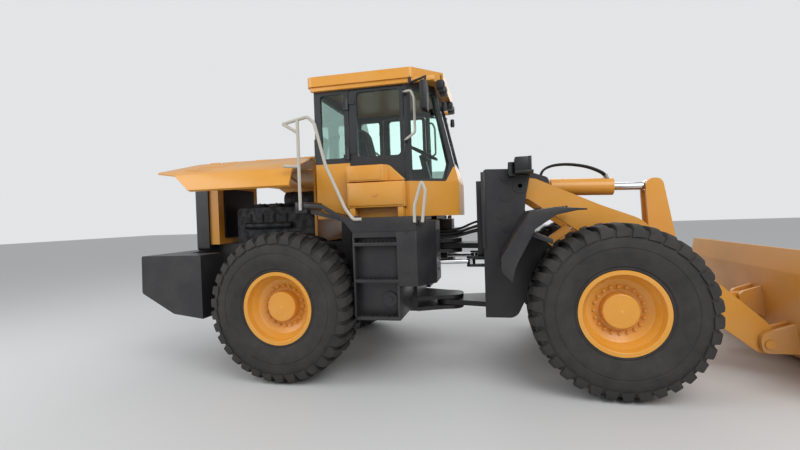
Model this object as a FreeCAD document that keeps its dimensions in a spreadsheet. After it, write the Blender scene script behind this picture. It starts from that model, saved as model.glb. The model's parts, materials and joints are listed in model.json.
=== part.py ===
"""Articulated wheel loader, full size, millimetres.

+X is forward, +Y is the driver's left, +Z is up. The origin is on the ground under the middle of the
machine's length. The rear frame carries engine, cab and rear axle, the front frame carries the front
axle and the boom, and the two are hinged at a vertical pivot halfway between the axles.
"""

import FreeCAD
import Part
import Sketcher
import math
import os
from FreeCAD import Vector

doc = FreeCAD.newDocument("WheelLoader")

# Driving dimensions: name of the cell, value in millimetres or degrees
SIZES = (
    ("wheelbase", 3300),
    ("front_axle_x", 1025),
    ("tread", 2250),
    ("tyre_diameter", 1580),
    ("tyre_width", 595),
    ("tyre_shoulder_radius", 70),
    ("rim_flange_diameter", 762),
    ("rim_flange_width", 520),
    ("rim_flange_lip", 26),
    ("rim_wall", 20),
    ("rim_disc_depth", 190),
    ("hub_diameter", 330),
    ("hub_length", 235),
    ("axle_tube_diameter", 270),
    ("axle_case_diameter", 560),
    ("axle_case_width", 420),
    ("axle_saddle", 25),
    ("running_gap", 1),
    ("seat_gap", 0.25),
    ("moving_gap", 10),
    ("pin_diameter", 90),
    ("boss_diameter", 190),
    ("hinge_pin_diameter", 80),
    ("hinge_lug_radius", 165),
    ("hinge_lug_thickness", 60),
    ("chassis_half_width", 345),
    ("chassis_plate", 30),
    ("weight_half_width", 1270),
    ("weight_ear", 370),
    ("tow_pin_diameter", 50),
    ("engine_length", 1150),
    ("engine_width", 620),
    ("engine_height", 780),
    ("radiator_half_width", 470),
    ("radiator_depth", 130),
    ("rear_guard_depth", 180),
    ("hood_half_width", 520),
    ("hood_sheet", 20),
    ("hood_hinge_radius", 14),
    ("hood_hinge_length", 60),
    ("hood_door_width", 930),
    ("hood_door_angle", 28),
    ("deck_sheet", 40),
    ("deck_inner_y", 250),
    ("deck_outer_y", 1290),
    ("tank_outer_y", 1300),
    ("tank_inner_y", 700),
    ("cab_half_width", 800),
    ("cab_nose_half_width", 410),
    ("cab_wall", 50),
    ("cab_glass", 6),
    ("cab_floor_sheet", 60),
    ("door_gap", 6),
    ("door_bulge", 45),
    ("door_hinge_radius", 14),
    ("door_hinge_length", 60),
    ("roof_thickness", 110),
    ("roof_overhang", 60),
    ("tower_outer_y", 620),
    ("tower_plate", 60),
    ("tower_inner_y", 270),
    ("tower_inner_plate", 40),
    ("lift_y", 400),
    ("rocker_pin_diameter", 90),
    ("bucket_link_z", 680),
    ("link_radius", 75),
    ("link_width", 100),
    ("link_pin_diameter", 80),
    ("bucket_pin_z", 340),
    ("boom_arm_y", 485),
    ("boom_arm_plate", 60),
    ("boom_tube_diameter", 160),
    ("boom_tube_back", 260),
    ("bucket_half_width", 1512),
    ("bucket_top_z", 1260),
    ("bucket_plate", 30),
    ("bucket_ground_gap", 4),
    ("tilt_barrel_diameter", 200),
    ("tilt_rod_diameter", 90),
    ("tilt_closed", 830),
    ("tilt_rod_start", 510),
    ("lift_barrel_diameter", 170),
    ("lift_rod_diameter", 85),
    ("lift_closed", 1020),
    ("lift_rod_start", 186),
    ("steer_barrel_diameter", 100),
    ("steer_rod_diameter", 50),
    ("steer_closed", 742),
    ("steer_rod_start", 400),
    ("steer_pin_diameter", 50),
    ("steer_base_back", 800),
    ("steer_base_y", 560),
    ("steer_eye_ahead", 300),
    ("steer_eye_y", 400),
    ("seat_width", 500),
    ("seat_base_height", 330),
    ("seat_back_height", 730),
    ("fender_outer_y", 1400),
    ("fender_sheet", 14),
)

# Places along X, and heights: name, what it is measured from, distance ahead of it or above it
PLACES = (
    ("deck_z", "axle_height", 910),
    ("hinge_upper_z", "axle_height", 540),
    ("hinge_lower_z", "axle_height", -150),
    ("chassis_rear_x", "rear_axle", -1415),
    ("chassis_front_x", "hinge", -360),
    ("chassis_top_z", "axle_height", 630),
    ("chassis_foot_z", "axle_height", -170),
    ("weight_rear_x", "rear_axle", -1745),
    ("weight_front_x", "rear_axle", -965),
    ("weight_top_z", "axle_height", 555),
    ("weight_foot_z", "axle_height", -150),
    ("engine_front_x", "rear_axle", 35),
    ("engine_foot_z", "axle_height", 310),
    ("radiator_x", "rear_axle", -1285),
    ("radiator_top_z", "axle_height", 1440),
    ("hood_front_x", "rear_axle", 80),
    ("hood_rear_x", "rear_axle", -1160),
    ("hood_top_z", "axle_height", 1680),
    ("hood_door_rear_x", "rear_axle", -1625),
    ("deck_front_x", "hinge", -175),
    ("deck_rear_x", "rear_axle", 375),
    ("tank_front_x", "hinge", -350),
    ("tank_nose_x", "hinge", -160),
    ("tank_rear_x", "rear_axle", 816),
    ("tank_foot_z", "axle_height", -120),
    ("cab_rear_x", "rear_axle", 240),
    ("cab_side_x", "hinge", -325),
    ("cab_nose_x", "hinge", 180),
    ("cab_nose_top_x", "hinge", -70),
    ("cab_sill_z", "deck_height", 390),
    ("cab_rear_sill_z", "deck_height", 625),
    ("cab_nose_z", "deck_height", 565),
    ("cab_step_x", "hinge", 65),
    ("cab_window_foot_z", "deck_height", 685),
    ("cab_window_top_z", "deck_height", 1410),
    ("cab_roof_z", "deck_height", 1500),
    ("door_rear_x", "rear_axle", 650),
    ("door_front_x", "hinge", -362),
    ("door_foot_z", "deck_height", 390),
    ("door_top_z", "deck_height", 1440),
    ("tower_rear_x", "front_axle", -1200),
    ("tower_front_x", "front_axle", -680),
    ("tower_top_z", "axle_height", 1400),
    ("tower_foot_z", "axle_height", -230),
    ("boom_pin_x", "front_axle", -800),
    ("boom_pin_z", "axle_height", 1200),
    ("tilt_pin_x", "front_axle", -555),
    ("tilt_pin_z", "axle_height", 1210),
    ("lift_pin_x", "front_axle", -970),
    ("lift_pin_z", "axle_height", 80),
    ("lift_eye_x", "front_axle", -70),
    ("lift_eye_z", "axle_height", 730),
    ("rocker_top_x", "front_axle", 680),
    ("rocker_top_z", "axle_height", 1170),
    ("rocker_pin_x", "front_axle", 750),
    ("rocker_pin_z", "axle_height", 450),
    ("rocker_foot_x", "front_axle", 820),
    ("rocker_foot_z", "axle_height", -230),
    ("bucket_link_x", "front_axle", 1560),
    ("bucket_pin_x", "front_axle", 1500),
    ("bucket_edge_x", "front_axle", 3000),
    ("bucket_back_x", "front_axle", 1735),
    ("steer_z", "axle_height", 370),
)

sheet = doc.addObject("Spreadsheet::Sheet", "Dims")
cells = list(SIZES) + [(name + "_from_" + datum, value) for name, datum, value in PLACES]
for row, (name, value) in enumerate(cells, start=1):
    sheet.set("A%d" % row, name.replace("_", " "))
    sheet.set("B%d" % row, str(value))
    sheet.setAlias("B%d" % row, name)
doc.recompute()


class Size(float):
    """A length or angle that also carries the sheet expression which gives it."""

    def __new__(cls, value, text):
        made = float.__new__(cls, value)
        made.text = text
        return made

    def _join(self, sign, other, value, swap=False):
        left, right = (text_of(other), self.text) if swap else (self.text, text_of(other))
        return Size(value, "(%s %s %s)" % (left, sign, right))

    def __add__(self, other):
        return self._join("+", other, float(self) + float(other))

    def __radd__(self, other):
        return self._join("+", other, float(other) + float(self), swap=True)

    def __sub__(self, other):
        return self._join("-", other, float(self) - float(other))

    def __rsub__(self, other):
        return self._join("-", other, float(other) - float(self), swap=True)

    def __mul__(self, other):
        return self._join("*", other, float(self) * float(other))

    def __rmul__(self, other):
        return self._join("*", other, float(other) * float(self), swap=True)

    def __truediv__(self, other):
        return self._join("/", other, float(self) / float(other))

    def __neg__(self):
        return Size(-float(self), "(0 - %s)" % self.text)


def text_of(value):
    """Expression text of a Size, or of a plain number."""
    if isinstance(value, Size):
        return value.text
    return "(%r)" % float(value)


def sine(angle):
    return Size(math.sin(math.radians(angle)), "sin(%s * 1 deg)" % text_of(angle))


def cosine(angle):
    return Size(math.cos(math.radians(angle)), "cos(%s * 1 deg)" % text_of(angle))


def distance(run, rise):
    return Size(math.hypot(run, rise), "hypot(%s; %s)" % (text_of(run), text_of(rise)))


def heading(run, rise):
    """Angle in degrees of the direction (run, rise)."""
    text = "(atan2(%s; %s) / 1 deg)" % (text_of(rise), text_of(run))
    return Size(math.degrees(math.atan2(rise, run)), text)


def bind(thing, path, value):
    """Tie a property to its expression, or set it where it is a plain number."""
    if isinstance(value, Size):
        thing.setExpression(path, value.text)
    else:
        thing.setExpression(path, "%r" % float(value))


D = type("Dimensions", (), {name: Size(value, "Dims." + name) for name, value in SIZES})

rear_axle_x = D.front_axle_x - D.wheelbase
pivot_x = D.front_axle_x - D.wheelbase / 2
axle_z = D.tyre_diameter / 2
datums = {"rear_axle": rear_axle_x, "hinge": pivot_x, "front_axle": D.front_axle_x, "axle_height": axle_z}
for name, datum, value in PLACES:
    place = datums[datum] + Size(value, "Dims.%s_from_%s" % (name, datum))
    setattr(D, name, place)
    if name == "deck_z":
        datums["deck_height"] = place
axle_seat_z = axle_z + D.axle_tube_diameter / 2 + D.axle_saddle + D.seat_gap
engine_seat_z = D.engine_foot_z - D.seat_gap
cab_floor_z = D.deck_z + D.seat_gap
cab_inside_z = cab_floor_z + D.cab_floor_sheet + D.seat_gap
door_hinge_x = D.door_rear_x - 10
door_hinge_y = D.cab_half_width + D.door_hinge_radius + 1.5
hood_hinge_y = D.hood_half_width + D.hood_hinge_radius + 1
hinge_places = (D.hood_front_x - 200, (D.hood_front_x + D.hood_rear_x) / 2, D.hood_rear_x + 150)
parts = []


def origin_plane(body, role):
    return [item for item in body.Origin.OriginFeatures if item.Role == role][0]


def new_body(label):
    body = doc.addObject("PartDesign::Body", label)
    body.Label = label
    body.AllowCompound = True
    return body


def keep(thing, label=None):
    """Count an object as a sub-part of the machine."""
    if label:
        thing.Label = label
    parts.append(thing)
    return thing


def draw(body, role, corners=(), circles=(), shift=0, turn=0):
    """Sketch on an origin plane: corners are (u, v) or (u, v, radius), circles are (u, v, radius)."""
    sketch = body.newObject("Sketcher::SketchObject", body.Label + "_sketch")
    sketch.AttachmentSupport = [(origin_plane(body, role), "")]
    sketch.MapMode = "FlatFace"
    if turn:
        sketch.AttachmentOffset = FreeCAD.Placement(Vector(0, 0, 0), FreeCAD.Rotation(Vector(0, 1, 0), 10))
        bind(sketch, ".AttachmentOffset.Rotation.Angle", turn)
        bind(sketch, ".AttachmentOffset.Base.x", shift * sine(turn))
        bind(sketch, ".AttachmentOffset.Base.z", shift * cosine(turn))
    else:
        bind(sketch, ".AttachmentOffset.Base.z", shift)
    if corners:
        outline(sketch, corners)
    for u, v, radius in circles:
        centre = Vector(float(u), float(v), 0)
        ring = sketch.addGeometry(Part.Circle(centre, Vector(0, 0, 1), float(radius)), False)
        place_point(sketch, ring, 3, u, v)
        index = sketch.addConstraint(Sketcher.Constraint("Radius", ring, float(radius)))
        bind(sketch, "Constraints[%d]" % index, radius)
    return sketch


def place_point(sketch, geometry, vertex, u, v):
    """Hold a sketch point at (u, v) measured from the sketch's origin."""
    for kind, value in (("DistanceX", u), ("DistanceY", v)):
        index = sketch.addConstraint(Sketcher.Constraint(kind, -1, 1, geometry, vertex, float(value)))
        bind(sketch, "Constraints[%d]" % index, value)


def outline(sketch, corners):
    """Closed outline of straight runs, rounded by a tangent arc where a corner has a radius."""
    points = [Vector(float(c[0]), float(c[1]), 0) for c in corners]
    count = len(points)
    starts, ends, arcs = {}, {}, {}
    for i, corner in enumerate(corners):
        here = points[i]
        if len(corner) < 3 or not corner[2]:
            starts[i] = ends[i] = here
            continue
        radius = float(corner[2])
        back = (points[i - 1] - here).normalize()
        on = (points[(i + 1) % count] - here).normalize()
        half = back.getAngle(on) / 2
        reach = radius / math.tan(half)
        ends[i], starts[i] = here + back * reach, here + on * reach
        centre = here + (back + on).normalize() * (radius / math.sin(half))
        arcs[i] = (centre, radius, back.cross(on).z < 0)
    lines = []
    for i in range(count):
        run = Part.LineSegment(starts[i], ends[(i + 1) % count])
        lines.append(sketch.addGeometry(run, False))
    for i, corner in enumerate(corners):
        before, after = lines[i - 1], lines[i]
        if i not in arcs:
            sketch.addConstraint(Sketcher.Constraint("Coincident", before, 2, after, 1))
            place_point(sketch, after, 1, corner[0], corner[1])
            continue
        centre, radius, left_turn = arcs[i]
        first, last = (ends[i], starts[i]) if left_turn else (starts[i], ends[i])
        angles = [math.atan2(p.y - centre.y, p.x - centre.x) for p in (first, last)]
        circle = Part.Circle(centre, Vector(0, 0, 1), radius)
        arc = sketch.addGeometry(Part.ArcOfCircle(circle, *angles), False)
        tip = sketch.addGeometry(Part.Point(points[i]), True)
        sketch.addConstraint(Sketcher.Constraint("Tangent", before, 2, arc, 1 if left_turn else 2))
        sketch.addConstraint(Sketcher.Constraint("Tangent", arc, 2 if left_turn else 1, after, 1))
        sketch.addConstraint(Sketcher.Constraint("PointOnObject", tip, 1, before))
        sketch.addConstraint(Sketcher.Constraint("PointOnObject", tip, 1, after))
        index = sketch.addConstraint(Sketcher.Constraint("Radius", arc, radius))
        bind(sketch, "Constraints[%d]" % index, corner[2])
        place_point(sketch, tip, 1, corner[0], corner[1])


def pad(body, sketch, length, both=False, kind="Pad", reverse=False):
    """Pad or pocket of a sketch."""
    feature = body.newObject("PartDesign::" + kind, "%s_%s" % (body.Label, kind))
    feature.Profile = sketch
    bind(feature, "Length", length)
    if both:
        feature.Midplane = True
    feature.Reversed = reverse
    return feature


def spin(body, sketch, kind="Revolution", axis="H_Axis"):
    feature = body.newObject("PartDesign::" + kind, "%s_%s" % (body.Label, kind))
    feature.Profile = sketch
    feature.ReferenceAxis = (sketch, [axis])
    feature.Angle = 360
    return feature


def mirror_sides(body, features):
    """Repeat features on the other side of the machine's middle plane."""
    feature = body.newObject("PartDesign::Mirrored", body.Label + "_other_side")
    feature.Originals = features
    feature.MirrorPlane = (origin_plane(body, "XZ_Plane"), [""])
    body.Tip = feature
    return feature


def side_plate(body, corners, inner_y, thickness, circles=(), kind="Pad"):
    """Plate in the XZ plane between y = inner_y and y = inner_y + thickness, on the left side."""
    sketch = draw(body, "XZ_Plane", corners, circles, shift=-(inner_y + thickness))
    return pad(body, sketch, thickness, kind=kind, reverse=(kind == "Pocket"))


def middle_plate(body, corners, width, circles=(), kind="Pad"):
    """Plate in the XZ plane, as wide each side of the machine's middle."""
    return pad(body, draw(body, "XZ_Plane", corners, circles), width, both=True, kind=kind)


def flat_plate(body, corners, foot_z, thickness, circles=(), kind="Pad"):
    """Plate in the XY plane from foot_z up."""
    sketch = draw(body, "XY_Plane", corners, circles, shift=foot_z)
    return pad(body, sketch, thickness, kind=kind, reverse=(kind == "Pocket"))


def cross_plate(body, corners, rear_x, thickness, circles=(), kind="Pad"):
    """Plate in the YZ plane from rear_x forward, corners are (y, z)."""
    sketch = draw(body, "YZ_Plane", corners, circles, shift=rear_x)
    return pad(body, sketch, thickness, kind=kind, reverse=(kind == "Pocket"))


def block(x1, x2, z1, z2, radius=0):
    """Corners of a rectangle."""
    return [(x1, z1, radius), (x2, z1, radius), (x2, z2, radius), (x1, z2, radius)]


def strap(x1, z1, x2, z2, radius):
    """Corners of a bar with round ends, from pin to pin."""
    long = distance(x2 - x1, z2 - z1)
    run, rise = (x2 - x1) / long, (z2 - z1) / long
    corner = radius * 0.999
    return [
        (x1 - run * radius + rise * radius, z1 - rise * radius - run * radius, corner),
        (x2 + run * radius + rise * radius, z2 + rise * radius - run * radius, corner),
        (x2 + run * radius - rise * radius, z2 + rise * radius + run * radius, corner),
        (x1 - run * radius - rise * radius, z1 - rise * radius + run * radius, corner),
    ]


def tyre_and_rim():
    """Tyre and rim of each wheel, turned about the axle, outboard side towards local +Y."""
    half = D.tyre_width / 2
    crown = D.tyre_diameter / 2
    flange = D.rim_flange_diameter / 2
    seat = flange - D.rim_flange_lip
    seat_half = D.rim_flange_width / 2 - D.rim_wall
    lip = D.rim_flange_width / 2
    disc = lip - D.rim_disc_depth
    hub = D.hub_diameter / 2
    barrel = seat - D.rim_wall
    # across the wheel, distance from the axle, corner radius
    tread_section = [
        (-seat_half, seat), (seat_half, seat), (seat_half, flange + 20), (half, seat + 130, 60),
        (half, crown - 150, 80), (half - 30, crown, D.tyre_shoulder_radius),
        (-half + 30, crown, D.tyre_shoulder_radius), (-half, crown - 150, 80), (-half, seat + 130, 60),
        (-seat_half, flange + 20),
    ]
    rim_section = [
        (seat_half, seat), (seat_half, flange), (lip, flange), (lip, flange - 40, 8),
        (lip - 70, barrel - 5, 20), (disc + 45, barrel - 45, 25), (disc, hub + 25, 10),
        (disc, hub), (disc + 95, hub - 8, 15), (disc + 105, 0), (disc - 130, 0), (disc - 130, hub),
        (disc - 22, hub), (disc - 22, barrel - 40, 20), (disc + 10, barrel), (-lip, barrel),
        (-lip, flange), (-seat_half, flange), (-seat_half, seat),
    ]
    wheels = []
    # name, axle place along X, side of the machine
    for name, place, side in (
        ("front_left", D.front_axle_x, 1), ("front_right", D.front_axle_x, -1),
        ("rear_left", rear_axle_x, 1), ("rear_right", rear_axle_x, -1),
    ):
        for piece, section in (("tyre", tread_section), ("rim", rim_section)):
            body = new_body("%s_%s" % (piece, name))
            body.Tip = spin(body, draw(body, "YZ_Plane", section))
            if side < 0:
                body.Placement = FreeCAD.Placement(Vector(0, 0, 0), FreeCAD.Rotation(Vector(0, 0, 1), 180))
            bind(body, "Placement.Base.x", place)
            bind(body, "Placement.Base.y", D.tread / 2 * side)
            bind(body, "Placement.Base.z", axle_z)
            wheels.append(keep(body))
    return wheels


def axle(name, place, nose_side):
    """Axle case with its round middle, from hub to hub, and the pinion nose towards the hinge."""
    disc = D.rim_flange_width / 2 - D.rim_disc_depth
    end = D.tread / 2 + disc - 130 - D.seat_gap
    tube = D.axle_tube_diameter / 2
    case = D.axle_case_diameter / 2
    flat = D.axle_case_width / 2
    body = new_body(name)
    section = [
        (-end, 0), (-end, tube + 25), (-end + 60, tube + 25), (-end + 60, tube), (-flat - 60, tube, 60),
        (-flat + 60, case, 60), (flat - 60, case, 60), (flat + 60, tube, 60), (end - 60, tube),
        (end - 60, tube + 25), (end, tube + 25), (end, 0),
    ]
    spin(body, draw(body, "YZ_Plane", section))
    nose = draw(body, "YZ_Plane", circles=[(0, 0, 110)])
    pad(body, nose, D.axle_case_diameter * 0.75, reverse=(nose_side < 0))
    saddle = side_plate(body, block(-130, 130, 0, tube + D.axle_saddle), 300, 100)
    mirror_sides(body, [saddle])
    bind(body, "Placement.Base.x", place)
    bind(body, "Placement.Base.z", axle_z)
    return keep(body)


def rear_chassis():
    """Two deep side plates, cross beams, cab posts, brackets and the hinge forks that hold the pins."""
    body = new_body("rear_chassis")
    rear, front = D.chassis_rear_x, D.chassis_front_x
    top, foot = D.chassis_top_z, D.chassis_foot_z
    wall = D.chassis_half_width
    inner = wall - D.chassis_plate
    plates = side_plate(body, [
        (rear, axle_seat_z - 200), (rear + 500, axle_seat_z), (front - 500, axle_seat_z), (front - 180, foot - 60, 60),
        (front, foot - 60), (front, top), (rear, top),
    ], inner, D.chassis_plate)
    mirror_sides(body, [plates])
    # place of each cross beam under the engine
    for place in (D.engine_front_x - 300, D.engine_front_x - D.engine_length + 160):
        cross_plate(body, block(-wall + 1, wall - 1, engine_seat_z - 60, engine_seat_z), place, 80)
    cross_plate(body, block(-wall, wall, foot - 60, top), front - D.chassis_plate, D.chassis_plate)
    # rear end along X of each cab post, its top
    for place, high in ((D.cab_rear_x + 120, D.deck_z),
                        (D.chassis_front_x - 220, D.deck_z - D.deck_sheet - D.seat_gap)):
        post = cross_plate(body, block(wall - 90, wall + 10, top - 60, high), place, 120)
        mirror_sides(body, [post])
    bracket = flat_plate(body, block(D.tank_front_x - 150, D.tank_front_x - 40, wall - 10,
                                     D.tank_inner_y - D.seat_gap), D.tank_foot_z + 130, 130)
    mirror_sides(body, [bracket])
    fork = 45
    edge = D.hinge_lug_radius
    gap = D.hinge_lug_thickness / 2 + D.moving_gap
    for level in (D.hinge_upper_z, D.hinge_lower_z):
        for foot_z in (level + gap, level - gap - fork):
            flat_plate(body, [
                (front - 5, -wall), (pivot_x - 60, -edge - 40, 60), (pivot_x + edge, -edge, edge * 0.99),
                (pivot_x + edge, edge, edge * 0.99), (pivot_x - 60, edge + 40, 60), (front - 5, wall),
            ], foot_z, fork)
        pin = draw(body, "XY_Plane", circles=[(pivot_x, 0, D.hinge_pin_diameter / 2)], shift=level - gap - fork)
        pad(body, pin, (gap + fork) * 2)
    base_x = pivot_x - D.steer_base_back
    for foot_z in (D.steer_z + 35, D.steer_z - 60):
        ear = draw(body, "XY_Plane", [
            (base_x - 60, wall - 5), (base_x - 60, D.steer_base_y + 60, 50), (base_x + 45, D.steer_base_y + 60, 50),
            (base_x + 45, wall - 5),
        ], shift=foot_z)
        mirror_sides(body, [pad(body, ear, 25)])
    pin = draw(body, "XY_Plane", circles=[(base_x, D.steer_base_y, D.steer_pin_diameter / 2)], shift=D.steer_z - 70)
    mirror_sides(body, [pad(body, pin, 140)])
    return keep(body)


def counterweight():
    """Cast block behind the engine, open in the middle towards the engine, with its tow pin bore."""
    body = new_body("counterweight")
    rear, front = D.weight_rear_x, D.weight_front_x
    top, foot = D.weight_top_z, D.weight_foot_z
    middle_plate(body, [
        (front, foot), (front, top), (rear + 10, top, 20), (rear, top - 425, 40), (rear + 410, foot + 50, 60),
    ], D.weight_half_width * 2)
    inside = D.weight_half_width - D.weight_ear
    flat_plate(body, block(D.chassis_rear_x - D.seat_gap, front + 50, -inside, inside, 60), foot - 50, top,
               kind="Pocket")
    slot = draw(body, "XZ_Plane", block(rear - 50, rear + 180, top - 380, top - 230))
    pad(body, slot, 240, both=True, kind="Pocket")
    bore = draw(body, "XY_Plane", circles=[(rear + 90, 0, D.tow_pin_diameter / 2)], shift=top + 10)
    pad(body, bore, D.weight_top_z, kind="Pocket")
    return keep(body)


def engine():
    """Engine as one block on the chassis beams."""
    body = new_body("engine")
    front = D.engine_front_x
    rear = front - D.engine_length
    foot = D.engine_foot_z
    high = foot + D.engine_height
    middle_plate(body, [
        (rear, foot), (front, foot), (front, high - 200, 40), (front - 250, high, 40), (rear, high, 60),
    ], D.engine_width)
    return keep(body)


def radiator():
    """Radiator housing behind the engine, standing on the chassis plates."""
    body = new_body("radiator")
    half = D.radiator_half_width
    front = D.radiator_x
    rear = front - D.radiator_depth
    cross_plate(body, block(-half, half, D.chassis_top_z, D.radiator_top_z), rear, D.radiator_depth)
    return keep(body)


def rear_guard():
    """Frame behind the radiator, on the counterweight."""
    body = new_body("rear_guard")
    half = D.radiator_half_width
    rear = D.radiator_x - D.radiator_depth - D.rear_guard_depth
    foot, top = D.weight_top_z + D.seat_gap, D.radiator_top_z - D.seat_gap
    cross_plate(body, block(-half - 30, half + 30, foot, top, 40), rear, D.rear_guard_depth - D.seat_gap)
    cross_plate(body, block(-half + 60, half - 60, foot + 90, top - 90), rear - 5,
                D.rear_guard_depth - 20, kind="Pocket")
    return keep(body)


def hood_hinges(body, across, up, side, offset):
    """Short tubes along the hinge line of a hood panel."""
    tubes = []
    for place in hinge_places:
        ring = draw(body, "YZ_Plane", circles=[(across * side, up, D.hood_hinge_radius)], shift=place + offset)
        tubes.append(pad(body, ring, D.hood_hinge_length))
    return tubes


def hood():
    """Fixed top of the hood with the bulkhead behind the cab."""
    body = new_body("hood")
    front, rear = D.hood_front_x, D.hood_rear_x
    top, half, sheet_wall = D.hood_top_z, D.hood_half_width, D.hood_sheet
    tail = D.radiator_x - D.radiator_depth - D.rear_guard_depth + 40
    middle_plate(body, [
        (front, top - 60), (front, top), (rear, top), (tail, D.radiator_top_z + sheet_wall),
        (tail, D.radiator_top_z), (rear, top - sheet_wall), (front - 30, top - sheet_wall), (front - 30, top - 60),
    ], half * 2)
    cross_plate(body, block(-half + 60, half - 60, D.chassis_top_z, top - 60), front - 30, 30)
    level = top - D.hood_hinge_radius
    for side in (1, -1):
        hood_hinges(body, hood_hinge_y, level, side, 0)
        for place in hinge_places:
            flat_plate(body, block(place, place + D.hood_hinge_length, (half - 5) * side, hood_hinge_y * side),
                       level - 6, 12)
    return keep(body)


def hood_door(name, side):
    """Gull-wing side panel of the hood, hinged along the top edge and stored raised."""
    body = new_body(name)
    width = D.hood_door_width
    front, rear, tail = D.hood_front_x, D.hood_rear_x, D.hood_door_rear_x
    inner = D.hood_hinge_radius + 4
    half_sheet = D.hood_sheet / 2
    flat_plate(body, [
        (front, inner * side), (front - 30, width * side), (tail, width * side, 60), (rear, inner * side),
    ], -half_sheet, D.hood_sheet)
    hood_hinges(body, 0, 0, side, -D.hood_hinge_length - D.seat_gap)
    # straps from each hinge tube to the panel
    for place in hinge_places:
        end = place - D.seat_gap
        flat_plate(body, block(end - D.hood_hinge_length, end, 0, (inner + 5) * side), -half_sheet, D.hood_sheet)
    body.Placement = FreeCAD.Placement(Vector(0, 0, 0), FreeCAD.Rotation(Vector(-side, 0, 0), 10))
    bind(body, "Placement.Base.y", hood_hinge_y * side)
    bind(body, "Placement.Base.z", D.hood_top_z - D.hood_hinge_radius)
    bind(body, "Placement.Rotation.Angle", D.hood_door_angle)
    return keep(body)


def deck():
    """Dark walkway beside and under the cab, rising over the rear wheel, each side."""
    body = new_body("deck")
    z, wall = D.deck_z, D.deck_sheet
    front, rear = D.deck_front_x, D.deck_rear_x
    bend = rear + 380
    flat = side_plate(body, [
        (front, z), (bend, z), (bend, z - wall), (front, z - wall),
    ], D.deck_inner_y, D.deck_outer_y - D.deck_inner_y)
    outside = D.cab_half_width + 15
    rising = side_plate(body, [
        (bend + 5, z), (bend, z), (rear, z + 100), (rear, z + 100 - wall), (bend, z - wall), (bend + 5, z - wall),
    ], outside, D.deck_outer_y - outside)
    mirror_sides(body, [flat, rising])
    return keep(body)


def tank(name, side):
    """Tank behind the hinge, its rear edge round the rear wheel and its front corner cut back."""
    body = new_body(name)
    front, rear = D.tank_front_x, D.tank_rear_x
    foot, top = D.tank_foot_z, D.deck_z - D.deck_sheet - D.seat_gap
    inner, outer = D.tank_inner_y, D.tank_outer_y
    side_plate(body, [
        (front, foot), (front, top), (rear, top), (rear + 114, top - 500, 300), (rear + 174, foot),
    ], inner if side > 0 else -outer, outer - inner)
    flat_plate(body, [
        (front - 5, inner * side), (D.tank_nose_x, inner * side), (D.tank_nose_x, (outer - 130) * side),
        (front, outer * side), (front - 5, outer * side),
    ], foot, top - foot)
    return keep(body)


def cab_plan(inset, front_x):
    """Plan of the cab at one level: a box with its front corners cut back."""
    half, nose = D.cab_half_width - inset, D.cab_nose_half_width - inset * 0.6
    rear, side = D.cab_rear_x + inset, D.cab_side_x - inset * 0.4
    return [(rear, -half), (side, -half), (front_x - inset, -nose), (front_x - inset, nose), (side, half), (rear, half)]


def cab_loft(body, inset, foot, top, kind):
    """Cab volume between two levels, leaning back from the sill to the roof."""
    low = draw(body, "XY_Plane", cab_plan(inset, D.cab_nose_x), shift=foot)
    high = draw(body, "XY_Plane", cab_plan(inset, D.cab_nose_top_x), shift=top)
    feature = body.newObject("PartDesign::%sLoft" % kind, "%s_%s_loft" % (body.Label, kind.lower()))
    feature.Profile = low
    feature.Sections = [high]
    feature.Ruled = True
    return feature


def cab_windows():
    """Prisms that cut the fixed windows out of the cab wall."""
    windows = new_body("cab_windows")
    top, low = D.cab_window_top_z, D.cab_window_foot_z
    reach = 400
    side_hole = side_plate(windows, block(D.cab_rear_x + 75, D.door_rear_x - 55, low, top, 40),
                           D.cab_half_width - reach, reach * 2)
    nose = D.cab_nose_half_width
    cross_plate(windows, block(-nose + 25, nose - 25, D.cab_nose_z + 40, top, 30), D.cab_nose_top_x - 200, 900)
    cross_plate(windows, block(-D.cab_half_width + 110, D.cab_half_width - 110, low, top, 40),
                D.cab_rear_x - reach, reach * 2)
    # corner window on each side, cut square to the mean direction of the slanting wall
    mean_nose_x = (D.cab_nose_x + D.cab_nose_top_x) / 2
    turn = heading(mean_nose_x - D.cab_side_x, nose - D.cab_half_width)
    along_x, along_y = cosine(turn), sine(turn)
    rear_u = D.cab_side_x * along_x + D.cab_half_width * along_y + 45
    low_u = D.cab_nose_x * along_x + nose * along_y - 45
    high_u = D.cab_nose_top_x * along_x + nose * along_y - 45
    across = D.cab_side_x * along_y - D.cab_half_width * along_x
    sketch = draw(windows, "XZ_Plane", [
        (rear_u, D.cab_sill_z + 30, 30), (low_u - 130, D.cab_sill_z + 30, 30), (low_u - 60, D.cab_nose_z + 30, 30),
        (high_u + 10, top, 30), (rear_u, top, 30),
    ], shift=across, turn=turn)
    corner = pad(windows, sketch, 340, both=True)
    mirror_sides(windows, [side_hole, corner])
    return windows


def cab_hinges(body, side, offset, wall_x, strap_end):
    """Knuckles of a door's hinges outside the cab, with straps let into the wall from wall_x to strap_end."""
    face = D.cab_half_width + 1.5
    outer = face + D.door_hinge_radius * 0.7
    long = D.door_hinge_length
    # height of each hinge
    for level in (D.cab_rear_sill_z + 40, D.door_top_z - 220):
        foot = level + offset
        ring = draw(body, "XY_Plane", circles=[(door_hinge_x, door_hinge_y * side, D.door_hinge_radius)], shift=foot)
        pad(body, ring, long)
        flat_plate(body, block(door_hinge_x, strap_end, face * side, outer * side), foot, long)
        flat_plate(body, block(wall_x, strap_end, (face - 8) * side, outer * side), foot, long)


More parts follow.
